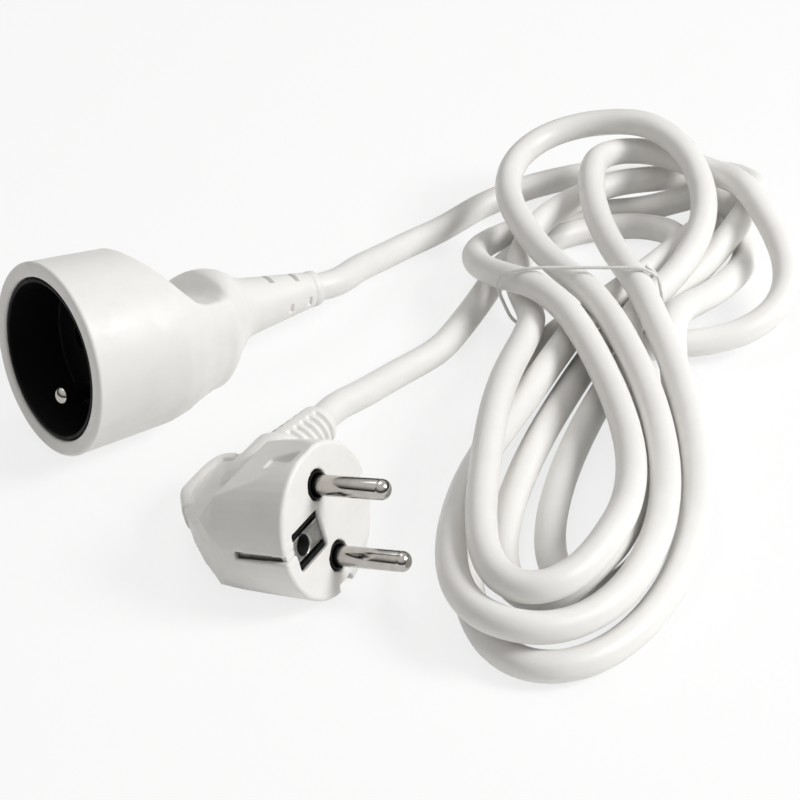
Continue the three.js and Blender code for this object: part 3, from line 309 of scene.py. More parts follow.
@dataclass(frozen=True)
class CoreSkin:
    """Glossy insulation of a core, with bands along it where a second colour is given."""

    slot: Slot
    colour: tuple[float, float, float]
    second: tuple[float, float, float]
    banded: bool = False

    def material(self) -> bpy.types.Material:
        """Builds the shader tree."""
        g = Graph(self.slot.value)
        at = g.place()
        cloud = g.noise(at, 900, 3, 0.6)
        bands = g.noise(g.place((1.0, 1.0, 3.0)), 260, 0, 0.5).over(0.56)
        share = bands if self.banded else cloud.spread(0, 1)
        return g.surface(
            Base_Color=g.blend(share, self.colour, self.second),
            Roughness=cloud.spread(0.3, 0.44),
            Normal=g.relief(cloud, 0.1, 0.00008),
        )


@dataclass(frozen=True)
class TieSkin:
    """Thin milky plastic drawn over a wire, glossy where it is pulled tight, with painted shade darkening
    its creases.
    """

    slot: Slot = Slot.TIE
    colour: tuple[float, float, float] = (0.83, 0.83, 0.81)
    # grey painted into the creases as shade
    painted_crease_shade: tuple[float, float, float] = (0.6, 0.6, 0.58)

    def material(self) -> bpy.types.Material:
        """Builds the shader tree."""
        g = Graph(self.slot.value)
        creases_and_shade = g.noise(g.place((2, 600, 1), uv=True), 3.0, 4, 0.65)
        return g.surface(
            # darker colour where the crease noise is high: painted shade in the creases; the same noise
            # drives roughness and bump
            Base_Color=g.blend(creases_and_shade.spread(0, 0.8), self.colour, self.painted_crease_shade),
            Roughness=creases_and_shade.spread(0.24, 0.42),
            Normal=g.relief(creases_and_shade, 0.3, 0.0001),
        )


FINISHES = (
    MouldedPvc(),
    SheathPvc(),
    DullPlastic(Slot.BLACK, (0.0035, 0.0033, 0.0035), (0.008, 0.0075, 0.0075), 0.52),
    DullPlastic(Slot.GREY, (0.07, 0.07, 0.075), (0.12, 0.12, 0.12), 0.5),
    PlatedMetal(Slot.NICKEL, (0.5, 0.48, 0.455), (0.4, 0.38, 0.35), 0.09),
    PlatedMetal(Slot.BRASS, (0.57, 0.38, 0.12), (0.3, 0.17, 0.06), 0.26),
    PlatedMetal(Slot.STEEL, (0.42, 0.42, 0.41), (0.25, 0.24, 0.23), 0.3),
    TieSkin(),
    CoreSkin(Slot.BROWN, (0.1, 0.036, 0.015), (0.07, 0.024, 0.01)),
    CoreSkin(Slot.BLUE, (0.02, 0.11, 0.34), (0.014, 0.08, 0.26)),
    CoreSkin(Slot.EARTH, (0.1, 0.3, 0.035), (0.62, 0.55, 0.05), True),
)


@dataclass
class Palette:
    """Every finish as a material, by slot."""

    materials: dict[Slot, bpy.types.Material] = field(default_factory=dict)

    def __post_init__(self) -> None:
        """Builds each finish once."""
        for finish in FINISHES:
            self.materials[finish.slot] = finish.material()

    def dress_nodes(self) -> None:
        """Gives every carried-over CAD node the procedural material of its slot."""
        slots = {part["node"]: part["material_slot"] for part in frame["record"]["subparts"]}
        for name, node in frame["nodes"].items():
            finish = self.materials[Slot(slots[name])]
            if not node.material_slots:
                node.data.materials.append(finish)
            for place in node.material_slots:
                place.link = "OBJECT"
                place.material = finish


# Surfaces


@dataclass(frozen=True)
class Place:
    """A piece's own frame in the shared one: its origin in millimetres and three axes."""

    origin: tuple[float, float, float] = (0.0, 0.0, 0.0)
    axes: tuple[tuple[float, float, float], ...] = ((1, 0, 0), (0, 1, 0), (0, 0, 1))

    def outward(self, points: Array) -> Array:
        """Millimetres in this frame to metres in the shared one: origin plus points times axes."""
        return (np.asarray(points) @ np.array(self.axes) + np.array(self.origin)) * MM

    def inward(self, points: Array) -> Array:
        """Metres in the shared frame to millimetres in this one."""
        return (np.asarray(points) / MM - np.array(self.origin)) @ np.array(self.axes).T


def turn_about(axis: int, degrees: float) -> Array:
    """A right-handed rotation about x, y or z as a matrix that multiplies columns."""
    c, s = math.cos(math.radians(degrees)), math.sin(math.radians(degrees))
    a, b = ((1, 2), (2, 0), (0, 1))[axis]
    m = np.eye(3)
    m[a, a], m[a, b], m[b, a], m[b, b] = c, -s, s, c
    return m


def eased(share: Array) -> Array:
    """Smooth step, 3s² - 2s³ of the clipped share."""
    s = np.clip(share, 0.0, 1.0)
    return s * s * (3.0 - 2.0 * s)


def signed_power(value: Array, power: float) -> Array:
    """|value| to a power with the value's sign; of cos φ and sin φ it makes a rounded square."""
    return np.sign(value) * np.abs(value) ** power


def soft_least(a: Array, b: Array, width: Any) -> Array:
    """The smaller of two values with a rounded corner: min minus h²·width/4 where they nearly meet."""
    h = np.clip(1.0 - np.abs(a - b) / width, 0.0, 1.0)
    return np.minimum(a, b) - h * h * width * 0.25


def smooth_line(places: Sequence[float], values: Sequence[float], at: Array, rounds: float) -> Array:
    """A broken line read at places and averaged over a window, so that its corners are round.

    Args:
        places: rising positions of the line's corners.
        values: the line's values there.
        at: where it is wanted.
        rounds: half width of the averaging window.

    Returns:
        The mean of nine readings spread over the window.
    """
    offsets = np.linspace(-1, 1, 9) * rounds
    weights = 1.0 - 0.9 * np.abs(np.linspace(-1, 1, 9))
    readings = [np.interp(at + o, places, values) for o in offsets]
    return np.average(readings, axis=0, weights=weights)


@dataclass
class Skin:
    """A grid of points over two parameters that becomes one closed mesh.

    Rows run along the first parameter and columns round the second. Columns always close on
    themselves; rows close too, or end in poles or flat fans.
    """

    name: str
    points: Array
    closed_rows: bool = False
    uv: Array | None = None

    def mesh(self, place: Place) -> bpy.types.Object:
        """Puts the grid into a mesh at a place, with outward faces and smooth shading."""
        rows, cols, _ = self.points.shape
        spots = place.outward(self.points.reshape(-1, 3))
        r = np.arange(rows if self.closed_rows else rows - 1)
        c = np.arange(cols)
        a = (r[:, None] * cols + c[None, :]).ravel()
        b = (r[:, None] * cols + (c[None, :] + 1) % cols).ravel()
        below = (((r + 1) % rows)[:, None] * cols + c[None, :]).ravel()
        under = (((r + 1) % rows)[:, None] * cols + (c[None, :] + 1) % cols).ravel()
        faces = np.stack([a, b, under, below], 1)
        corners = faces.ravel()
        starts = np.arange(len(faces)) * 4
        totals = np.full(len(faces), 4)
        if not self.closed_rows:
            ends = [np.arange(cols)[::-1], (rows - 1) * cols + np.arange(cols)]
            middles = np.array([spots[e].mean(0) for e in ends])
            first = len(spots)
            spots = np.vstack([spots, middles])
            fans = [np.stack([e, np.roll(e, -1), np.full(cols, first + k)], 1) for k, e in enumerate(ends)]
            fans = np.vstack(fans)
            starts = np.concatenate([starts, len(corners) + np.arange(len(fans)) * 3])
            totals = np.concatenate([totals, np.full(len(fans), 3)])
            corners = np.concatenate([corners, fans.ravel()])
        mesh = bpy.data.meshes.new(self.name)
        mesh.vertices.add(len(spots))
        mesh.vertices.foreach_set("co", spots.astype(np.float32).ravel())
        mesh.loops.add(len(corners))
        mesh.loops.foreach_set("vertex_index", corners.astype(np.int32))
        mesh.polygons.add(len(starts))
        mesh.polygons.foreach_set("loop_start", starts.astype(np.int32))
        mesh.polygons.foreach_set("loop_total", totals.astype(np.int32))
        mesh.polygons.foreach_set("use_smooth", np.ones(len(starts), bool))
        mesh.update(calc_edges=True)
        self._unwrap(mesh, rows, cols, corners, len(faces))
        return finished(mesh, self.name)

    def _unwrap(self, mesh: bpy.types.Mesh, rows: int, cols: int, corners: Array, quads: int) -> None:
        """UV map with u as the share of the way round and v the given value of each row."""
        v = self.uv if self.uv is not None else np.linspace(0, 1, rows)
        layer = mesh.uv_layers.new(name="along")
        quad = corners[: quads * 4].reshape(-1, 4)
        u = (quad % cols) / cols
        u[:, 1:3] = u[:, [0]] + 1.0 / cols
        spread = np.zeros((len(corners), 2), np.float32)
        spread[: quads * 4, 0] = u.ravel()
        spread[: quads * 4, 1] = v[(quad // cols) % rows].ravel()
        layer.data.foreach_set("uv", spread.ravel())


def finished(mesh: bpy.types.Mesh, name: str) -> bpy.types.Object:
    """Links a mesh as an object at the origin, with its normals pointing outwards."""
    shape = bmesh.new()
    shape.from_mesh(mesh)
    bmesh.ops.recalc_face_normals(shape, faces=shape.faces)
    shape.to_mesh(mesh)
    shape.free()
    piece = bpy.data.objects.new(name, mesh)
    bpy.context.scene.collection.objects.link(piece)
    return piece


def revolved(name: str, along: Array, radius: Array, sides: int, axis: int = 0,
             at: tuple[float, float, float] = (0, 0, 0), closed: bool = False) -> Skin:
    """A profile turned round an axis: across = r·cos φ, r·sin φ.

    Args:
        name: the piece's name.
        along: places on the axis, one for each row.
        radius: one radius for each row, or a grid of rows and columns.
        sides: how many columns go round.
        axis: 0 for x, 1 for y.
        at: a point that the axis passes.
        closed: whether the last row joins the first.

    Returns:
        The surface.
    """
    phi = np.arange(sides) * 2 * np.pi / sides
    r = radius if np.ndim(radius) == 2 else np.repeat(np.asarray(radius)[:, None], sides, 1)
    straight = np.repeat(np.asarray(along)[:, None], sides, 1)
    first, second = r * np.cos(phi), r * np.sin(phi)
    order = (straight, first, second) if axis == 0 else (second, straight, first)
    return Skin(name, np.stack(order, -1) + np.array(at), closed)


def softened_copy(node: str, name: str, place: Place, voxel: float, rounds: int,
                  shaped: Callable[[Array], Array] | None = None) -> bpy.types.Object:
    """A CAD node's copy with its edges rounded as a mould rounds them.

    The merged copy is remeshed on a fine grid in the piece's own frame. Then each point moves to
    the mean of its neighbours and a little back again, round after round, so that edges turn
    round while the size stays.

    Args:
        node: the CAD node to copy.
        name: the new piece's name.
        place: the frame that the piece's flat faces lie square in.
        voxel: the grid's step in millimetres.
        rounds: how often the points are averaged.
        shaped: moves the grid's points before they are averaged.

    Returns:
        The finished piece.
    """
    source = frame["nodes"][node].data
    spots = np.empty(len(source.vertices) * 3)
    source.vertices.foreach_get("co", spots)
    corners = np.empty(len(source.loops), np.int32)
    source.loops.foreach_get("vertex_index", corners)
    mesh = bpy.data.meshes.new(name)
    mesh.from_pydata(place.inward(spots.reshape(-1, 3)).tolist(), [], corners.reshape(-1, 3).tolist())
    shape = bmesh.new()
    shape.from_mesh(mesh)
    bmesh.ops.remove_doubles(shape, verts=shape.verts, dist=0.0005)
    shape.to_mesh(mesh)
    shape.free()
    rough = bpy.data.objects.new(name + "_rough", mesh)
    bpy.context.scene.collection.objects.link(rough)
    grid = rough.modifiers.new("grid", "REMESH")
    grid.mode, grid.voxel_size, grid.adaptivity = "VOXEL", voxel, 0.0
    bpy.context.view_layer.update()
    fine = bpy.data.meshes.new_from_object(rough.evaluated_get(bpy.context.evaluated_depsgraph_get()))
    bpy.data.objects.remove(rough)
    points = np.empty(len(fine.vertices) * 3)
    fine.vertices.foreach_get("co", points)
    points = points.reshape(-1, 3)
    if shaped:
        points = shaped(points)
    edges = np.empty(len(fine.edges) * 2, np.int32)
    fine.edges.foreach_get("vertices", edges)
    edges = edges.reshape(-1, 2)
    count = np.bincount(edges.ravel(), minlength=len(points))[:, None]
    for share in [0.55, -0.5] * rounds:
        total = np.zeros_like(points)
        for k in range(3):
            total[:, k] = np.bincount(edges[:, 0], points[edges[:, 1], k], len(points))
            total[:, k] += np.bincount(edges[:, 1], points[edges[:, 0], k], len(points))
        points = points + share * (total / np.maximum(count, 1) - points)
    fine.vertices.foreach_set("co", place.outward(points).astype(np.float32).ravel())
    fine.polygons.foreach_set("use_smooth", np.ones(len(fine.polygons), bool))
    fine.update()
    fine.name = name
    return finished(fine, name)


@dataclass
class Builder:
    """Dresses pieces, hangs them on their body and keeps a count of them."""

    palette: Palette
    made: list[bpy.types.Object] = field(default_factory=list)

    def keep(self, piece: bpy.types.Object, slot: Slot, *nodes: str) -> bpy.types.Object:
        """Finishes a piece.

        Args:
            piece: the new object.
            slot: the finish it takes.
            nodes: the CAD nodes that it stands for.

        Returns:
            The same object.
        """
        piece.data.materials.clear()
        piece.data.materials.append(self.palette.materials[slot])
        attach(piece, BODY)
        if nodes:
            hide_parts(*nodes)
        self.made.append(piece)
        log.info("%s: %d faces, stands for %s", piece.name, len(piece.data.polygons), nodes or "detail")
        return piece


# Cord


def curve_through(points: Array, count: int, fine: int = 4) -> Array:
    """Points evenly spaced along a centripetal Catmull-Rom curve.

    Each piece between two points is a cubic whose end slopes come from its neighbours, weighted
    by the square roots of the distances; the ends are mirrored to give the outer neighbours. The
    length table has fine readings for each point wanted.

    Args:
        points: the curve's points, one row each.
        count: how many steps are wanted.
        fine: readings of the length table for each step.

    Returns:
        count + 1 points.
    """
    p = np.vstack([2 * points[0] - points[1], points, 2 * points[-1] - points[-2]])
    last = len(points) - 1

    def read(t: Array) -> Array:
        """The curve at shares of its parameter."""
        spot = t * last
        k = np.minimum(spot.astype(int), last - 1)
        w = (spot - k)[:, None]
        a, b, c, d = p[k], p[k + 1], p[k + 2], p[k + 3]
        gap = [np.linalg.norm(n - m, axis=1)[:, None] ** 0.5 for m, n in ((a, b), (b, c), (c, d))]
        s1 = ((b - a) / gap[0] - (c - a) / (gap[0] + gap[1]) + (c - b) / gap[1]) * gap[1]
        s2 = ((c - b) / gap[1] - (d - b) / (gap[1] + gap[2]) + (d - c) / gap[2]) * gap[1]
        return b + s1 * w + (3 * (c - b) - 2 * s1 - s2) * w**2 + (2 * (b - c) + s1 + s2) * w**3

    table_t = np.linspace(0, 1, count * fine + 1)
    table = read(table_t)
    length = np.concatenate([[0], np.cumsum(np.linalg.norm(np.diff(table, axis=0), axis=1))])
    return read(np.interp(np.linspace(0, length[-1], count + 1), length, table_t))


@dataclass
class Hank:
    """The cord wound in flat loops that all pass a tied waist.

    Coordinates are across the hank, along it and up, in millimetres. Loops are drawn as cubic
    pulls from pass to pass, and then strands that would meet push each other apart and sink.
    """

    diameter: float = 7.4
    layer_height: float = 7.9
    clear: float = 0.95
    waist: tuple[float, float] = (94.14, -53.55)
    turn: float = 45.1 - 90
    tie_place: float = 4.5
    waist_lift: float = 2.0
    waist_reach: float = 10.0
    points_per_loop: int = 48
    rounds: int = 500
    settle_share: float = 0.7
    stops: tuple[tuple[float, float, float], ...] = (
        (-37, 69, 0), (-3.5, 0, 1), (-1, 0, 2.15), (6, 0, 1), (0, 0, 0), (-14, 0, 0.9),
        (-10, 0, 2.15), (16, 0, 1.05), (8, 0, 0), (8, 0, 2.15), (-9, 0, 0), (-31, 24, 0),
    )
    # out and back handle of each loop, and its layer
    loops: tuple[tuple[float, float, float, float, float], ...] = (
        (-15, 100, 90, 134, 0), (-90, -192, 70, -142, 1), (-94, 125, 88, 107, 2.9),
        (46, -136, -58, -160, 0), (112, 140, -66, 75, 1.1), (-56, -220, 60, -90, 2),
        (-98, 54, 100, 136, 0), (42, -122, -44, -158, 0), (128, -8, -58, 188, 1.9),
        (60, -136, -72, -204, 0), (94, 86, -24, 80, 0),
    )

    def place(self) -> Place:
        """The hank's frame in the shared one."""
        turned = turn_about(2, self.turn)
        return Place((*self.waist, 0.0), tuple(map(tuple, turned.T)))

    def draft(self) -> Array:
        """One cubic pull for each loop, (1-s)³, 3(1-s)²s, 3(1-s)s², s³, then evenly spaced."""
        rows = []
        for k, (ox, oy, bx, by, layer) in enumerate(self.loops):
            last = 1 if k == len(self.loops) - 1 else 0
            s = np.arange(self.points_per_loop + last) / self.points_per_loop
            w = np.stack([(1 - s) ** 3, 3 * (1 - s) ** 2 * s, 3 * (1 - s) * s * s, s**3], 1)
            (x0, y0, z0), (x1, y1, z1) = self.stops[k], self.stops[k + 1]
            flat = w @ np.array([[x0, y0], [ox, oy], [bx, by], [x1, y1]])
            inside = np.maximum(np.sin(np.pi * s), 0) ** 1.2
            level = (z0 * (1 - s) + z1 * s) * (1 - inside) + layer * inside
            rows.append(np.column_stack([flat, self.diameter / 2 + self.layer_height * level]))
        drawn = np.vstack(rows)
        return curve_through(drawn, len(drawn) - 1)

    @staticmethod
    def averaged(values: Array, rounds: int) -> Array:
        """Half of each inner value and a quarter of each neighbour, round after round."""
        for _ in range(rounds):
            inner = 0.5 * values[1:-1] + 0.25 * values[:-2] + 0.25 * values[2:]
            values = np.vstack([values[:1], inner, values[-1:]])
        return values

    @staticmethod
    def nearest(p: Array, i: Array, j: Array) -> tuple[Array, Array, Array, Array]:
        """Nearest places of the segments that start at points i and j, for all pairs at once.

        Returns:
            The shares along both segments, the way from one to the other, and its length.
        """
        d1, d2, r = p[i + 1] - p[i], p[j + 1] - p[j], p[i] - p[j]
        dot = lambda a, b: (a * b).sum(1)
        aa, ee, bb, cc, ff = dot(d1, d1), dot(d2, d2), dot(d1, d2), dot(d1, r), dot(d2, r)
        spread = aa * ee - bb * bb
        safe = np.where(spread > 1e-15, spread, 1.0)
        s = np.where(spread > 1e-15, np.clip((bb * ff - cc * ee) / safe, 0, 1), 0.0)
        t = (bb * s + ff) / ee
        out = (t < 0) | (t > 1)
        t = np.clip(t, 0, 1)
        s = np.where(out, np.clip((bb * t - cc) / aa, 0, 1), s)
        away = r + d1 * s[:, None] - d2 * t[:, None]
        return s, t, away, np.linalg.norm(away, axis=1)

    def near_pairs(self, p: Array, limit: float) -> tuple[Array, Array]:
        """Pairs of segments of different strands whose first points are nearer than a limit."""
        apart = ((p[:-1, None, :] - p[None, :-1, :]) ** 2).sum(2)
        i, j = np.nonzero(np.triu(apart < limit * limit, 10))
        return i, j

    def wound(self) -> Array:
        """The hank's centreline once its strands have pushed apart and sunk onto each other."""
        draft = self.averaged(self.draft(), 6)
        wanted = self.diameter + self.clear
        limit = wanted + 2 * np.linalg.norm(draft[1] - draft[0]) + 6.0
        p = draft.copy()
        for turn in range(self.rounds):
            if turn % 20 == 0:
                first, second = self.near_pairs(p, limit)
            s, t, away, distance = self.nearest(p, first, second)
            near = distance < wanted
            i, j, s, t = first[near], second[near], s[near], t[near]
            way = away[near] * np.array([0.45, 0.45, 1.0])
            way /= np.linalg.norm(way, axis=1)[:, None]
            push = way * ((wanted - distance[near]) / 2)[:, None]
            moves, weights = np.zeros_like(p), np.zeros(len(p))
            for k, share, sign in ((i, 1 - s, 1), (i + 1, s, 1), (j, 1 - t, -1), (j + 1, t, -1)):
                np.add.at(moves, k, sign * push * share[:, None])
                np.add.at(weights, k, share)
            shifts = p + moves * (1.2 / np.maximum(weights, 1))[:, None] - draft
            shifts[0] = shifts[-1] = 0
            settling = turn < self.rounds * self.settle_share
            soft = self.averaged(shifts, 2 if settling else 1)
            keep = 0.0 if settling else 0.85
            p = draft + soft * (1 - keep) + shifts * keep
            if settling:
                p[1:-1, 2] -= 0.05
            p[:, 2] = np.maximum(p[:, 2], self.lowest(p[:, 1]))
        return p

    def lowest(self, along: Array) -> Array:
        """Half the cord, and at the tie a low hump that lets the tie pass under the strands."""
        hump = np.exp(-(((along - self.tie_place) / self.waist_reach) ** 2))
        return self.diameter / 2 + self.waist_lift * hump


@dataclass
class Flex:
    """The whole cord as one tube from the socket's strain relief to the plug's."""

    hank: Hank
    socket_exit: Array
    socket_way: Array
    plug_exit: Array
    plug_way: Array
    inside: float = 2.5  # of the cord in each strain relief
    step: float = 1.35
    sides: int = 28
    socket_lead: tuple[tuple[float, float, float], ...] = (
        (58.9, 4.7, 12.4), (72.7, 11.5, 7.8), (86.6, 16.3, 4.8), (99.3, 18.2, 3.9),
    )
    plug_lead: tuple[tuple[float, float, float], ...] = (
        (26.2, -39.4, 9.3), (42.0, -33.6, 5.6), (59.5, -29.7, 4.0), (70.4, -24.8, 3.75),
    )

    def centreline(self, wound: Array) -> Array:
        """Lead, hank and lead on one smooth line of even steps, in the shared frame."""
        hank = self.hank.place().outward(wound) / MM
        d = self.hank.diameter
        start = [self.socket_exit - self.socket_way * self.inside, self.socket_exit + self.socket_way * d]
        finish = [self.plug_exit + self.plug_way * d, self.plug_exit - self.plug_way * self.inside]
        corners = np.vstack([start, self.socket_lead, hank, self.plug_lead[::-1], finish])
        length = np.linalg.norm(np.diff(corners, axis=0), axis=1).sum()
        line = curve_through(corners, int(length / self.step), 3)
        line[4:-4] = Hank.averaged(line, 3)[4:-4]
        return line

    def tube(self, line: Array, name: str, radius: float, sides: int) -> Skin:
        """A ring carried along a line without twisting: side and up vectors turned with it.

        The side vector of the first ring is level; each next one is the last one less its share
        along the new direction, so that the ring never spins.
        """
        way = np.gradient(line, axis=0)
        way /= np.linalg.norm(way, axis=1)[:, None]
        side = np.empty_like(way)
        now = np.cross([0.0, 0.0, 1.0], way[0])
        for k, forward in enumerate(way):
            now = now - forward * (now @ forward)
            now = now / np.linalg.norm(now)
            side[k] = now
        up = np.cross(way, side)
        phi = np.arange(sides) * 2 * np.pi / sides
        ring = side[:, None, :] * np.cos(phi)[None, :, None] + up[:, None, :] * np.sin(phi)[None, :, None]
        run = np.concatenate([[0], np.cumsum(np.linalg.norm(np.diff(line, axis=0), axis=1))])
        return Skin(name, line[:, None, :] + radius * ring, uv=run * MM)


@dataclass
class Tie:
    """A thin wire tie pulled round the strands at the waist, its ends passing each other."""

    hank: Hank
    diameter: float = 0.9
    clear: float = 0.5
    sides_at: tuple[float, float] = (-26.0, 18.0)
    slope: float = 1.5
    turn: float = 400.0
    start: float = 40.0
    shift: float = 1.8
    steps: int = 60
    search: int = 4

    def line(self, wound: Array) -> Array:
        """Points outside the hull of the strands: for each angle the strand that reaches farthest."""
        run = np.diff(wound, axis=0)
        p = wound[1:]
        reach = self.shift + self.hank.diameter / 4
        keep = np.abs(run[:, 0]) < self.slope * np.abs(run[:, 1])
        keep &= (p[:, 0] > self.sides_at[0]) & (p[:, 0] < self.sides_at[1])
        keep &= np.abs(p[:, 1] - self.hank.tie_place) < reach
        steps = np.arange(self.search) / self.search
        strands = (p[keep][:, None, :] - run[keep][:, None, :] * steps[None, :, None]).reshape(-1, 3)
        away = self.hank.diameter / 2 + self.clear + self.diameter / 2
        share = np.linspace(0, 1, self.steps * self.search + 1)
        angle = np.radians(self.start + self.turn * share)
        c, s = np.cos(angle), np.sin(angle)
        far = strands[:, 0][None, :] * c[:, None] + strands[:, 2][None, :] * s[:, None]
        outer = strands[far.argmax(1)]
        along = self.hank.tie_place + self.shift * (share - 0.5)
        drawn = np.column_stack([outer[:, 0] + away * c, along, outer[:, 2] + away * s])
        return Hank.averaged(curve_through(drawn, self.steps * 5), 40)


# Socket


@dataclass
class TrailingSocket:
    """Round trailing socket along x from its rim, rolled so that the earth pin lies low.

    Across is r·cos φ on y and r·sin φ on z, so that the finger scoop lies near φ = -90 degrees.
    """

    rim_at: tuple[float, float, float] = (-38.89, 0.0, 26.196)
    tilt: float = 7.5
    roll: float = 167.0
    rim_r: float = 24.3
    rim_edge: float = 0.9
    length: float = 52.8
    # body behind the rim: shares of the length and of the rim's radius
    shape: tuple[tuple[float, float], ...] = (
        (0, 1), (0.51, 0.942), (0.6, 0.897), (0.68, 0.827), (0.775, 0.762), (0.835, 0.745), (0.87, 0.69),
        (0.91, 0.605), (0.95, 0.525), (1, 0.43),
    )
    scoop: tuple[tuple[float, float], ...] = (
        (0.4, 0.98), (0.432, 0.877), (0.489, 0.708), (0.534, 0.551), (0.608, 0.358), (0.674, 0.295),
        (0.782, 0.292), (0.82, 0.366), (0.852, 0.502), (0.93, 0.51), (1.02, 0.53),
    )
    scoop_roll: float = 8.0
    scoop_wall: float = 1.1
    crest: float = 0.5  # how far the lip behind the scoop is crowned, 0 for flat and 1 for round
    bore_r: float = 20.5  # room for the insert
    bore_end: float = 17.3
    boot_base_r: float = 9.8
    boot_flare_r: float = 9.4  # of its first edge, at the body
    boot_l: float = 27.8
    boot_gap: float = 0.3  # between the body and the strain relief
    boot_end_r: float = 4.8
    boot_shape: tuple[tuple[float, float], ...] = ((0, 1), (0.08, 0.87), (0.17, 0.79), (0.3, 0.73))
    collar_l: float = 2.4
    collar_step: float = 0.06
    slot_floor: float = 3.75
    slot_l: float = 1.25
    slot_w: float = 6.4
    side_slot_w: float = 2.4
    side_slot_depth: float = 0.55
    slots: tuple[float, ...] = (0.44, 0.73)
    side_slots: tuple[float, ...] = (0.58, 0.82)
    earth_offset: float = 10.0
    earth_setback: float = 1.6
    pin_r: float = 2.4

    def place(self) -> Place:
        """The socket's frame: rolled round its axis, then tilted up at its rim."""
        turned = turn_about(1, self.tilt) @ turn_about(0, self.roll)
        return Place(self.rim_at, tuple(map(tuple, turned.T)))

    def exit(self) -> tuple[Array, Array]:
        """Where the cord leaves the strain relief, and which way, in millimetres."""
        place = self.place()
        end = self.length + self.boot_gap + self.boot_l
        return place.outward([end, 0, 0]) / MM, np.array(place.axes[0])

    def _flat(self, x: Array, phi: Array, lower: float) -> Array:
        """Radius of the scoop's surface: its height over the cosine of the angle from its middle.

        Toward the lip the cosine gets a power below one, which makes the lip crowned.

        Args:
            x: places along the socket, one for each row.
            phi: angles round it.
            lower: how far below the scoop's surface.
        """
        places = [0.3 * self.length, *(l * self.length for l, _ in self.scoop)]
        heights = [1.5 * self.rim_r, *(n * self.rim_r for _, n in self.scoop)]
        height = smooth_line(places, heights, x, 1.5)[:, None] - lower
        off = phi[None, :] - (-np.pi / 2 - math.radians(self.scoop_roll))
        cosine = np.cos(off)
        facing = cosine > 0.12
        safe = np.where(facing, cosine, 1.0)
        lip = eased((x / self.length - 0.78) / 0.09)[:, None]
        return np.where(facing, height / safe ** (1.0 - self.crest * lip), 1e3)

    def body(self) -> Skin:
        """Outside, rear face, inside and rim as one loop of rows, cut to the scoop's height."""
        phi = np.arange(288) * 2 * np.pi / 288
        x_rim = self.rim_edge * (1 - np.cos(np.linspace(0, np.pi / 2, 6)))
        r_rim = self.rim_r - self.rim_edge * (1 - np.sin(np.linspace(0, np.pi / 2, 6)))
        x_out = np.concatenate([x_rim, np.linspace(1.2, 18, 24), np.linspace(18.4, self.length, 96)])
        places, shares = np.array(self.shape).T
        r_long = smooth_line(places * self.length, shares * self.rim_r, x_out[6:], 1.1)
        r_out = np.concatenate([r_rim, r_long])
        edge = np.interp(x_out, [0.66 * self.length, 0.84 * self.length], [0.8, 3.2])[:, None]
        outside = soft_least(r_out[:, None], self._flat(x_out, phi, 0.0), edge)
        rear_edge = outside[-1:] - 0.7
        x_in = np.concatenate([np.linspace(self.length + 0.25, 46.4, 12), np.linspace(46.2, 17.4, 40)])
        r_in = np.interp(x_in, [17.4, 33.0, 33.8, 41.6, 46.4, 46.9, 49.4, 49.9, 53.1],
                         [18.6, 18.6, 13.6, 13.6, 9.5, 9.5, 9.5, 7.7, 7.7])
        roof = np.where((x_in > 21.6)[:, None] & (x_in < 46.5)[:, None],
                        self._flat(x_in, phi, self.scoop_wall), 1e3)
        inside = np.minimum(r_in[:, None], roof)
        inside = np.minimum(inside, np.interp(x_in, x_out, r_out)[:, None] - 0.6)
        x_bore = np.array([*(self.bore_end + np.array([0.05, 0.0, -0.3])), 9.0, 1.0, 0.45, 0.15, 0.0, 0.0])
        r_bore = np.array([18.7, *[self.bore_r] * 4, *(self.bore_r + np.array([0.05, 0.25, 0.55])), 22.3])
        bore = np.repeat(r_bore[:, None], len(phi), 1)
        x = np.concatenate([x_out, [self.length + 0.25], x_in, x_bore])
        return revolved("socket_body_skin", x, np.vstack([outside, rear_edge, inside, bore]), len(phi),
                        closed=True)

    def boot(self) -> Skin:
        """Strain relief: a narrowing sleeve, slots of flat floor cut from four sides, a collar.

        Inside a slot the radius is the floor's distance over the cosine of the angle from the
        slot's middle; smooth steps a quarter of a millimetre wide make the slot's walls.
        """
        start = self.length + self.boot_gap
        end = start + self.boot_l
        phi = np.arange(168) * 2 * np.pi / 168
        x = np.linspace(start, end - self.collar_l - 0.15, 150)
        knots = [start + l * self.boot_l for l, _ in self.boot_shape] + [end - self.collar_l, end]
        radii = [r * self.boot_base_r for _, r in self.boot_shape]
        radii += [self.boot_end_r - self.collar_step, self.boot_end_r]
        r = smooth_line(knots, radii, x, 0.7)[:, None] * np.ones(len(phi))
        top, beside = (self.slots, np.pi / 2, self.slot_w), (self.side_slots, 0.3, self.side_slot_w)
        for shares, turn, wide in (top, beside):
            for share in shares:
                for side in (0.0, np.pi):
                    off = phi - turn - side
                    cosine = np.where(np.cos(off) > 0.3, np.cos(off), 0.3)
                    across = r * np.sin(off)[None, :]
                    near = np.where(np.cos(off) > 0.3, 1.0, 0.0)[None, :]
                    middle = start + share * self.boot_l
                    length = eased((self.slot_l / 2 + 0.12 - np.abs(x - middle)) / 0.25)[:, None]
                    width = eased((wide / 2 + 0.12 - np.abs(across)) / 0.3)
                    depth = np.maximum(r - self.slot_floor / cosine[None, :], 0)
                    depth = np.minimum(depth, self.side_slot_depth) if turn < 1 else depth
                    r = r - near * length * width * depth
        edge = np.array([(0.0, 0), (0.1, 0.02), (0.25, 0.12), (0.5, 0.2)])
        x_end = [*(end - self.collar_l + edge[:, 0]), end - 0.5, end - 0.15, end, end, end - 4.2, end - 4.4,
                 start + 0.5, start - 2.8, start - 3.0, start - 5.3, start - 5.5, start - 5.5, start - 5.3,
                 start - 3.15, start - 3.05, start - 0.2, start - 0.05]
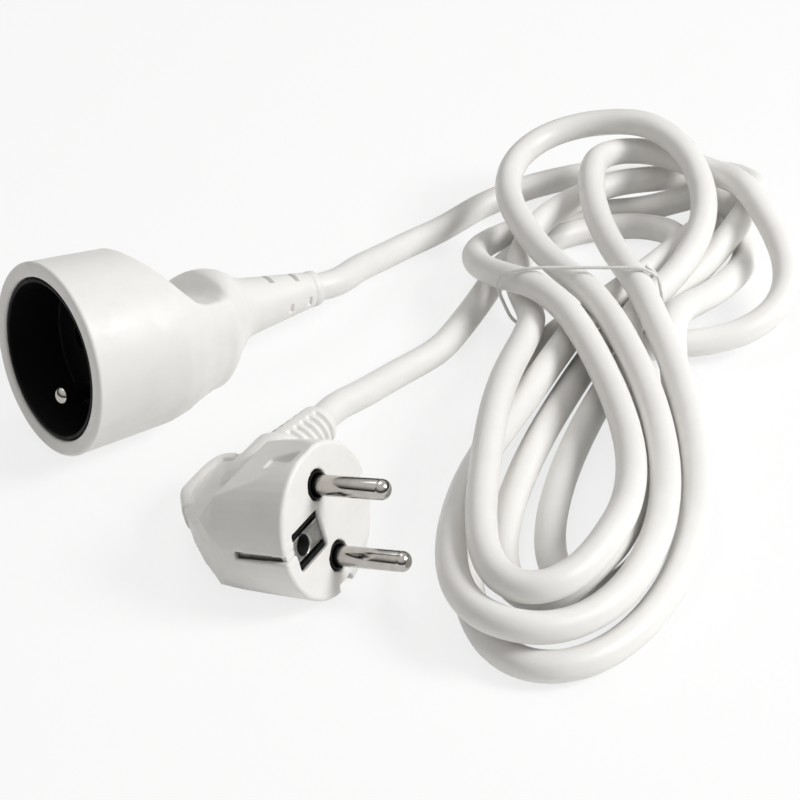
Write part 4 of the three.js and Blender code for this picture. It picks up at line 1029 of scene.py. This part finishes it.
        r_end = [*(self.boot_end_r - 0.2 + edge[:, 1]), self.boot_end_r, self.boot_end_r - 0.1,
                 self.boot_end_r - 0.35, 3.8, 3.78, 3.45, 3.45, 3.45, 3.45, 3.45, 3.6, 9.0, 9.2,
                 9.2, 7.5, 7.45, 7.6]
        tail = np.repeat(np.array(r_end)[:, None], len(phi), 1)
        rows = np.vstack([np.full((1, len(phi)), self.boot_flare_r), r, tail])
        return revolved("socket_strain_relief", np.concatenate([[start - 0.02], x, x_end]), rows, len(phi),
                        closed=True)

    def earth_pin(self) -> Skin:
        """Round pin with a domed tip, its tail ending in the contact carrier."""
        return turned_pin("socket_earth_pin_turned", self.earth_setback, 26.0, 35.0, self.pin_r,
                          (0, 0, self.earth_offset), 1.0)

    def build(self, make: Builder) -> list[bpy.types.Object]:
        """Builds and dresses the socket's visible pieces."""
        place = self.place()
        cup = softened_copy("socket_insert", "socket_cup", place, 0.3, 3)
        return [
            make.keep(self.body().mesh(place), Slot.WHITE_PVC, "socket_body"),
            make.keep(self.boot().mesh(place), Slot.WHITE_PVC, "socket_boot"),
            make.keep(cup, Slot.BLACK, "socket_insert"),
            make.keep(self.earth_pin().mesh(place), Slot.NICKEL, "socket_earth_pin"),
        ]


def turned_pin(name: str, tip: float, root: float, tail_end: float, radius: float,
               at: tuple[float, float, float], way: float) -> Skin:
    """A contact pin along x: domed tip, a fine shoulder behind the dome, shank and thin tail.

    The dome's radius falls as the square root of one minus the share squared.

    Args:
        name: the piece's name.
        tip: where the tip is on x.
        root: where the full thickness ends.
        tail_end: where the thin tail ends.
        radius: of the pin.
        at: a point on the pin's axis.
        way: 1 where the tail lies toward +x, -1 where it lies toward -x.
    """
    share = np.sin(np.linspace(0.02, np.pi / 2, 16))
    dome_x = tip + way * radius * 0.86 * (1 - np.sqrt(np.maximum(1 - share**2, 0)))
    x = [*dome_x, dome_x[-1] + way * 0.05, dome_x[-1] + way * 0.3, dome_x[-1] + way * 0.45, root - way * 0.3,
         root, root, tail_end - way * 0.3, tail_end]
    r = [*(radius * share), radius, radius - 0.05, radius, radius, radius - 0.25, 1.2, 1.2, 0.9]
    return revolved(name, np.array(x), np.array(r), 56, at=at)


# Plug


@dataclass
class AngledPlug:
    """Angled two-pin plug with its pins forward along x, its cord out along y and z up."""

    at: tuple[float, float] = (-16.56, -83.75)
    turn: float = -66.4
    face_r: float = 18.3
    facet_l: float = 20.0
    facet_end: float = 12.7
    boss_axis: float = 26.5
    boot_start: float = 22.7
    boot_l: float = 17.3
    boot_base_r: float = 7.4
    boot_end_r: float = 5.1
    ribs: int = 5
    rib_depth: float = 1.15
    spine_w: float = 3.2
    pin_y: float = 9.5
    pin_r: float = 2.4
    pin_l: float = 19.0
    pin_root: float = -7.5  # end of the full thickness inside the plug
    pin_tail: float = -12.6
    guide: tuple[float, float] = (-2.9, -11.4)  # upper guide groove, from the face
    guide_half: float = 2.8
    guide_far: float = 0.9  # its far wall
    guide_depth: float = 2.1
    chamber_r: float = 14.75  # of the room for the bridge, with a skin over it
    earth_y: float = -10.0  # middle of the hole for an earth pin
    earth_hole_r: float = 2.45
    plate_y: tuple[float, float] = (-13.55, -2.7)
    plate_half: float = 2.8
    plate_x: tuple[float, float] = (-2.5, -0.65)  # back and front
    slit_y: tuple[float, float] = (-15.15, 1.6)  # slit's floor in the face: middle and half size
    slit_z: tuple[float, float] = (0.9, 1.05)
    bead: tuple[float, float] = (1.7, 3.5)  # half width and half height of the grip's thick edge
    bead_line: tuple[tuple[float, float, float], ...] = (
        (-36.2, -3.6, 0), (-38.0, -1.2, 0), (-41.4, 3.6, 0), (-41.65, 6.0, 0), (-41.65, 15.5, 0),
        (-40.4, 18.4, 0), (-36.5, 19.2, 0),
    )

    def place(self) -> Place:
        """The plug's frame: lying on its facet, turned to where its pins point."""
        lean = math.degrees(math.atan((self.face_r - self.facet_end) / self.facet_l))
        turned = turn_about(2, self.turn) @ turn_about(1, -lean)
        height = self.face_r * math.cos(math.radians(lean))
        return Place((*self.at, height), tuple(map(tuple, turned.T)))

    def exit(self) -> tuple[Array, Array]:
        """Where the cord leaves the strain relief, and which way, in millimetres."""
        place = self.place()
        end = [-self.boss_axis, self.boot_start + self.boot_l, 0]
        return place.outward(end) / MM, np.array(place.axes[1])

    def boot(self) -> Skin:
        """Ribbed strain relief: a narrowing sleeve less a row of round grooves beside two spines.

        Between ribs the radius is lowered by a raised cosine along the sleeve, times a step that
        is nought over the spines.
        """
        start, end = self.boot_start, self.boot_start + self.boot_l
        phi = np.arange(144) * 2 * np.pi / 144
        y = np.linspace(start, end - 0.3, 170)
        r = np.interp(y, [start, end], [self.boot_base_r, self.boot_end_r])[:, None] * np.ones(len(phi))
        pitch = self.boot_l / (self.ribs + 1)
        from_spine = np.abs(r * np.sin(phi)[None, :])
        beside = eased((from_spine - self.spine_w / 2) / 0.6)
        for k in range(self.ribs):
            off = np.abs(y - (start + pitch * (k + 1)))
            groove = eased((0.95 - off) / 0.75)[:, None]
            r = r - self.rib_depth * groove * beside
        y_end = [end - 0.1, end, end, end - 4.0, end - 4.2, start + 0.5, start - 2.7, start - 2.9,
                 start - 5.1, start - 5.3, start - 5.3, start - 5.1, start - 3.0, start - 2.9,
                 start - 0.25, start - 0.05]
        r_end = [self.boot_end_r - 0.12, self.boot_end_r - 0.4, 3.85, 3.8, 3.45, 3.45, 3.45, 3.45, 3.45, 3.6,
                 6.5, 6.7, 6.7, 5.75, 5.7, 5.9]
        rows = np.vstack([np.full((1, len(phi)), 7.0), r, np.repeat(np.array(r_end)[:, None], len(phi), 1)])
        return revolved("plug_strain_relief", np.concatenate([[start - 0.02], y, y_end]), rows, len(phi),
                        axis=1, at=(-self.boss_axis, 0, 0), closed=True)

    def grip_bead(self) -> Skin:
        """Thick rounded edge along the back of the grip.

        A rounded square, (|cos|^0.6, |sin|^0.6) with their signs, is carried along the grip's
        outline; its size rises from nought over the first and last twenty-fourths.
        """
        line = curve_through(np.array(self.bead_line, float), 90)
        way = np.gradient(line, axis=0)
        way /= np.linalg.norm(way, axis=1)[:, None]
        out = np.cross(way, [0.0, 0.0, 1.0])
        share = np.linspace(0, 1, len(line))
        ends = np.clip(1 - 24 * share, 0, 1) ** 2 + np.clip(24 * share - 23, 0, 1) ** 2
        size = np.sqrt(np.clip(1 - ends, 0.002, 1))
        phi = np.arange(40) * 2 * np.pi / 40
        flat = self.bead[0] * signed_power(np.cos(phi), 0.6)[None, :, None] * out[:, None, :]
        up = self.bead[1] * signed_power(np.sin(phi), 0.6)[None, :, None] * np.array([0.0, 0.0, 1.0])
        return Skin("plug_grip_edge", line[:, None, :] + (flat + up) * size[:, None, None])

    def guide_groove(self, points: Array) -> Array:
        """Gives the upper guide groove its far wall and a floor that falls with the facet.

        Over the groove a point's height is that of the facet, r less the slope times the distance
        from the face, and between its two walls that less the groove's depth.
        """
        x, y, z = points.T
        start, end = self.guide
        facet = self.face_r + (self.face_r - self.facet_end) / self.facet_l * x
        floor = np.maximum(facet - self.guide_depth, self.chamber_r)
        over = (np.abs(y) < self.guide_half) & (x > end - 0.2) & (x < start + 0.2)
        over &= z > self.chamber_r + 0.4
        inside = (y < self.guide_far) & (x > end) & (x < start)
        return np.stack([x, y, np.where(over, np.where(inside, floor, facet), z)], -1)

    def slit_floor(self) -> Skin:
        """Bottom of the slit where it crosses the face: a rounded square, (|cos|^0.2, |sin|^0.2)."""
        x = np.array([-2.1, -2.0, -1.0, -0.88, -0.85])
        size = np.array([0.9, 1.0, 1.0, 0.97, 0.9])
        phi = np.arange(48) * 2 * np.pi / 48
        (y_middle, y_half), (z_middle, z_half) = self.slit_y, self.slit_z
        y = y_middle + y_half * size[:, None] * signed_power(np.cos(phi), 0.2)
        z = z_middle + z_half * size[:, None] * signed_power(np.sin(phi), 0.2)
        return Skin("plug_slit_floor", np.stack([np.repeat(x[:, None], len(phi), 1), y, z], -1))

    def contact_plate(self) -> Skin:
        """Plate of the earth contact in the window, with the hole for an earth pin.

        Between the hole and the edge, each ray from the hole's middle ends on the nearer of the
        rectangle's sides: r = min(side across / |cos φ|, side up / |sin φ|).
        """
        hole, middle, half = self.earth_hole_r, self.earth_y, self.plate_half
        (low, high), (back, front) = self.plate_y, self.plate_x
        corner = [math.atan2(up, side - middle) for side in (low, high) for up in (-half, half)]
        phi = np.sort(np.concatenate([np.arange(96) * 2 * np.pi / 96, np.mod(corner, 2 * np.pi)]))
        side = np.where(np.cos(phi) > 0, high - middle, middle - low)
        edge = np.minimum(side / np.maximum(np.abs(np.cos(phi)), 1e-6),
                          half / np.maximum(np.abs(np.sin(phi)), 1e-6))
        round_hole = np.full(len(phi), hole)
        rows = [(back, round_hole), (front - 0.3, round_hole), (front - 0.07, round_hole + 0.08),
                (front, round_hole + 0.3), (front, edge - 0.15), (front - 0.1, edge - 0.03),
                (front - 0.3, edge), (back, edge)]
        x = np.array([row[0] for row in rows])[:, None] * np.ones(len(phi))
        r = np.array([row[1] for row in rows])
        return Skin("plug_earth_plate", np.stack([x, middle + r * np.cos(phi), r * np.sin(phi)], -1), True)

    def earth_hole_painted_shade(self) -> Skin:
        """Painted shade inside the tube for the earth pin: a small closed black cup turned about x that
        darkens the hole.
        """
        x = [-0.95, -0.9, -2.3, -8.3, -8.4, -8.7, -8.7]
        r = [2.15, 2.42, 2.42, 2.68, 2.6, 2.4, 0.05]
        inner_x, inner_r = [-8.0, -8.0, -7.9], [0.05, 1.9, 2.15]
        return revolved("plug_earth_hole_painted_shade", np.array([*x, *inner_x]), np.array([*r, *inner_r]), 48,
                        at=(0, self.earth_y, 0), closed=True)

    def build(self, make: Builder) -> list[bpy.types.Object]:
        """Builds and dresses the plug's visible pieces."""
        place = self.place()
        body = softened_copy("plug_body", "plug_body_moulded", place, 0.36, 6, self.guide_groove)
        bridge = softened_copy("plug_bridge", "plug_bridge_moulded", place, 0.25, 2)
        contact = softened_copy("plug_earth_contact", "plug_earth_strip", place, 0.2, 2)
        pieces = [
            make.keep(body, Slot.WHITE_PVC, "plug_body"),
            make.keep(self.boot().mesh(place), Slot.WHITE_PVC, "plug_boot"),
            make.keep(bridge, Slot.BLACK, "plug_bridge"),
            make.keep(contact, Slot.STEEL, "plug_earth_contact"),
            make.keep(self.grip_bead().mesh(place), Slot.WHITE_PVC),
            make.keep(self.slit_floor().mesh(place), Slot.WHITE_PVC),
            make.keep(self.contact_plate().mesh(place), Slot.STEEL),
            # black cup in the earth tube: painted shade that makes the hole read dark
            make.keep(self.earth_hole_painted_shade().mesh(place), Slot.BLACK),
        ]
        for name, height in (("live", self.pin_y), ("neutral", -self.pin_y)):
            pin = turned_pin(f"plug_{name}_pin_turned", self.pin_l, self.pin_root, self.pin_tail, self.pin_r,
                             (0, 0, height), -1.0)
            pieces.append(make.keep(pin.mesh(place), Slot.NICKEL, f"plug_{name}_pin"))
        return pieces


# Studio


@dataclass
class Studio:
    """Pale floor, white surroundings, soft lamps and the photograph's camera."""

    camera_at: tuple[float, float, float] = (-240.0, -391.98, 317.04)
    azimuth: float = 51.64
    elevation: float = -35.0
    focal_px: float = 2150.0
    # heights at which the room seen in shiny things turns from dark to bright, and those levels
    room_rise: tuple[float, float, float, float] = (0.12, 0.75, 0.02, 0.85)
    floor_white: float = 0.78  # share of plain white that the camera and the metal see in the floor

    def camera(self) -> None:
        """A camera at the photograph's place: lens = focal length in pixels over the width."""
        data = bpy.data.cameras.new("camera")
        data.sensor_width = 36.0
        data.lens = 36.0 * self.focal_px / PHOTO_SIDE
        data.clip_start, data.clip_end = 0.01, 20.0
        camera = bpy.data.objects.new("camera", data)
        bpy.context.scene.collection.objects.link(camera)
        a, e = math.radians(self.azimuth), math.radians(self.elevation)
        way = Vector((math.cos(a) * math.cos(e), math.sin(a) * math.cos(e), math.sin(e)))
        camera.location = Vector(self.camera_at) * MM
        camera.rotation_mode = "QUATERNION"
        camera.rotation_quaternion = way.to_track_quat("-Z", "Y")
        bpy.context.scene.camera = camera

    def lamp(self, name: str, at: tuple[float, float, float], power: float, size: float) -> None:
        """A soft square lamp that faces the middle of the object."""
        data = bpy.data.lights.new(name, "AREA")
        data.energy, data.size = power, size
        lamp = bpy.data.objects.new(name, data)
        bpy.context.scene.collection.objects.link(lamp)
        lamp.location = at
        aim = Vector((0.06, -0.05, 0.02)) - lamp.location
        lamp.rotation_mode = "QUATERNION"
        lamp.rotation_quaternion = aim.to_track_quat("-Z", "Y")

    def floor(self) -> None:
        """A pale floor that keeps the object's shadow."""
        half = 3.0
        mesh = bpy.data.meshes.new("floor")
        mesh.from_pydata([(-half, -half, 0), (half, -half, 0), (half, half, 0), (-half, half, 0)], [],
                         [(0, 1, 2, 3)])
        floor = bpy.data.objects.new("floor", mesh)
        bpy.context.scene.collection.objects.link(floor)
        g = Graph("floor_paper")
        fibres = g.noise(g.place(), 40, 4, 0.6)
        paper = g.add("ShaderNodeBsdfPrincipled", None, Roughness=0.9, Specular_IOR_Level=0.1,
                      Base_Color=g.blend(fibres, (0.93, 0.93, 0.925), (0.95, 0.95, 0.945)))
        white = g.add("ShaderNodeEmission", None, Color=(1, 1, 1, 1), Strength=1.0)
        path = g.add("ShaderNodeLightPath")
        seen = Signal(g, path.outputs["Is Camera Ray"]) + Signal(g, path.outputs["Is Glossy Ray"])
        both = g.add("ShaderNodeMixShader", None, Fac=seen * self.floor_white)
        self._join(g, both, paper, white)
        mesh.materials.append(g.material)
        floor.location.z = -0.0004

    @staticmethod
    def _join(g: Graph, both: bpy.types.Node, first: bpy.types.Node, second: bpy.types.Node) -> None:
        """Feeds two shaders to a Mix Shader and that to the material's output."""
        g.feed(both.inputs[1], first.outputs[0])
        g.feed(both.inputs[2], second.outputs[0])
        g.add("ShaderNodeOutputMaterial", None, Surface=both.outputs[0])

    def world(self) -> None:
        """White to the camera, a room with a dark horizon in shiny things, a plain level elsewhere."""
        world = bpy.data.worlds.new("studio")
        bpy.context.scene.world = world
        world.use_nodes = True
        tree = world.node_tree
        tree.nodes.clear()
        path = tree.nodes.new("ShaderNodeLightPath")
        seen = tree.nodes.new("ShaderNodeMath")
        seen.operation = "MAXIMUM"
        tree.links.new(path.outputs["Is Camera Ray"], seen.inputs[0])
        tree.links.new(path.outputs["Is Transmission Ray"], seen.inputs[1])
        plain, white = tree.nodes.new("ShaderNodeBackground"), tree.nodes.new("ShaderNodeBackground")
        plain.inputs[0].default_value = (1.0, 0.975, 0.95, 1)
        plain.inputs[1].default_value = 0.3
        white.inputs[0].default_value = (1, 1, 1, 1)
        white.inputs[1].default_value = 1.0
        around, height = tree.nodes.new("ShaderNodeTexCoord"), tree.nodes.new("ShaderNodeSeparateXYZ")
        rise, room = tree.nodes.new("ShaderNodeMapRange"), tree.nodes.new("ShaderNodeBackground")
        rise.interpolation_type = "SMOOTHSTEP"
        for place, value in enumerate(self.room_rise):
            rise.inputs[1 + place].default_value = value
        room.inputs[0].default_value = (1.0, 0.985, 0.97, 1)
        tree.links.new(around.outputs["Generated"], height.inputs[0])
        tree.links.new(height.outputs[2], rise.inputs[0])
        tree.links.new(rise.outputs[0], room.inputs[1])
        metal, mix = tree.nodes.new("ShaderNodeMixShader"), tree.nodes.new("ShaderNodeMixShader")
        out = tree.nodes.new("ShaderNodeOutputWorld")
        for node, share, first, second in (
                (metal, path.outputs["Is Glossy Ray"], plain, room), (mix, seen.outputs[0], metal, white)):
            tree.links.new(share, node.inputs[0])
            tree.links.new(first.outputs[0], node.inputs[1])
            tree.links.new(second.outputs[0], node.inputs[2])
        tree.links.new(mix.outputs[0], out.inputs[0])

    def build(self) -> None:
        """Sets up the view, the floor and the light."""
        self.camera()
        self.floor()
        self.world()
        self.lamp("key", (0.534, -0.614, 0.62), 7.0, 0.34)
        self.lamp("top", (0.1, 0.35, 1.1), 2.4, 0.7)
        bpy.context.scene.view_settings.view_transform = "Standard"


def main() -> None:
    """Builds the studio, the cord, the socket, the tie and the plug, and reports each piece."""
    logging.basicConfig(level=logging.INFO, format="%(name)s %(message)s")
    Studio().build()
    palette = Palette()
    palette.dress_nodes()
    make = Builder(palette)
    socket, plug, hank = TrailingSocket(), AngledPlug(), Hank()
    flex = Flex(hank, *socket.exit(), *plug.exit())
    wound = hank.wound()
    line = flex.centreline(wound)
    cord = make.keep(flex.tube(line, "flex_sheath", hank.diameter / 2, flex.sides).mesh(Place()),
                     Slot.CORD_PVC, "socket_lead", "coil", "plug_lead")
    tie = Tie(hank)
    band_line = hank.place().outward(tie.line(wound)) / MM
    band = make.keep(flex.tube(band_line, "hank_tie", tie.diameter / 2, 12).mesh(Place()), Slot.TIE, "tie")
    socket.build(make)
    on_plug = plug.build(make)
    (line * MM).tolist()


if __name__ == "__main__":
    main()
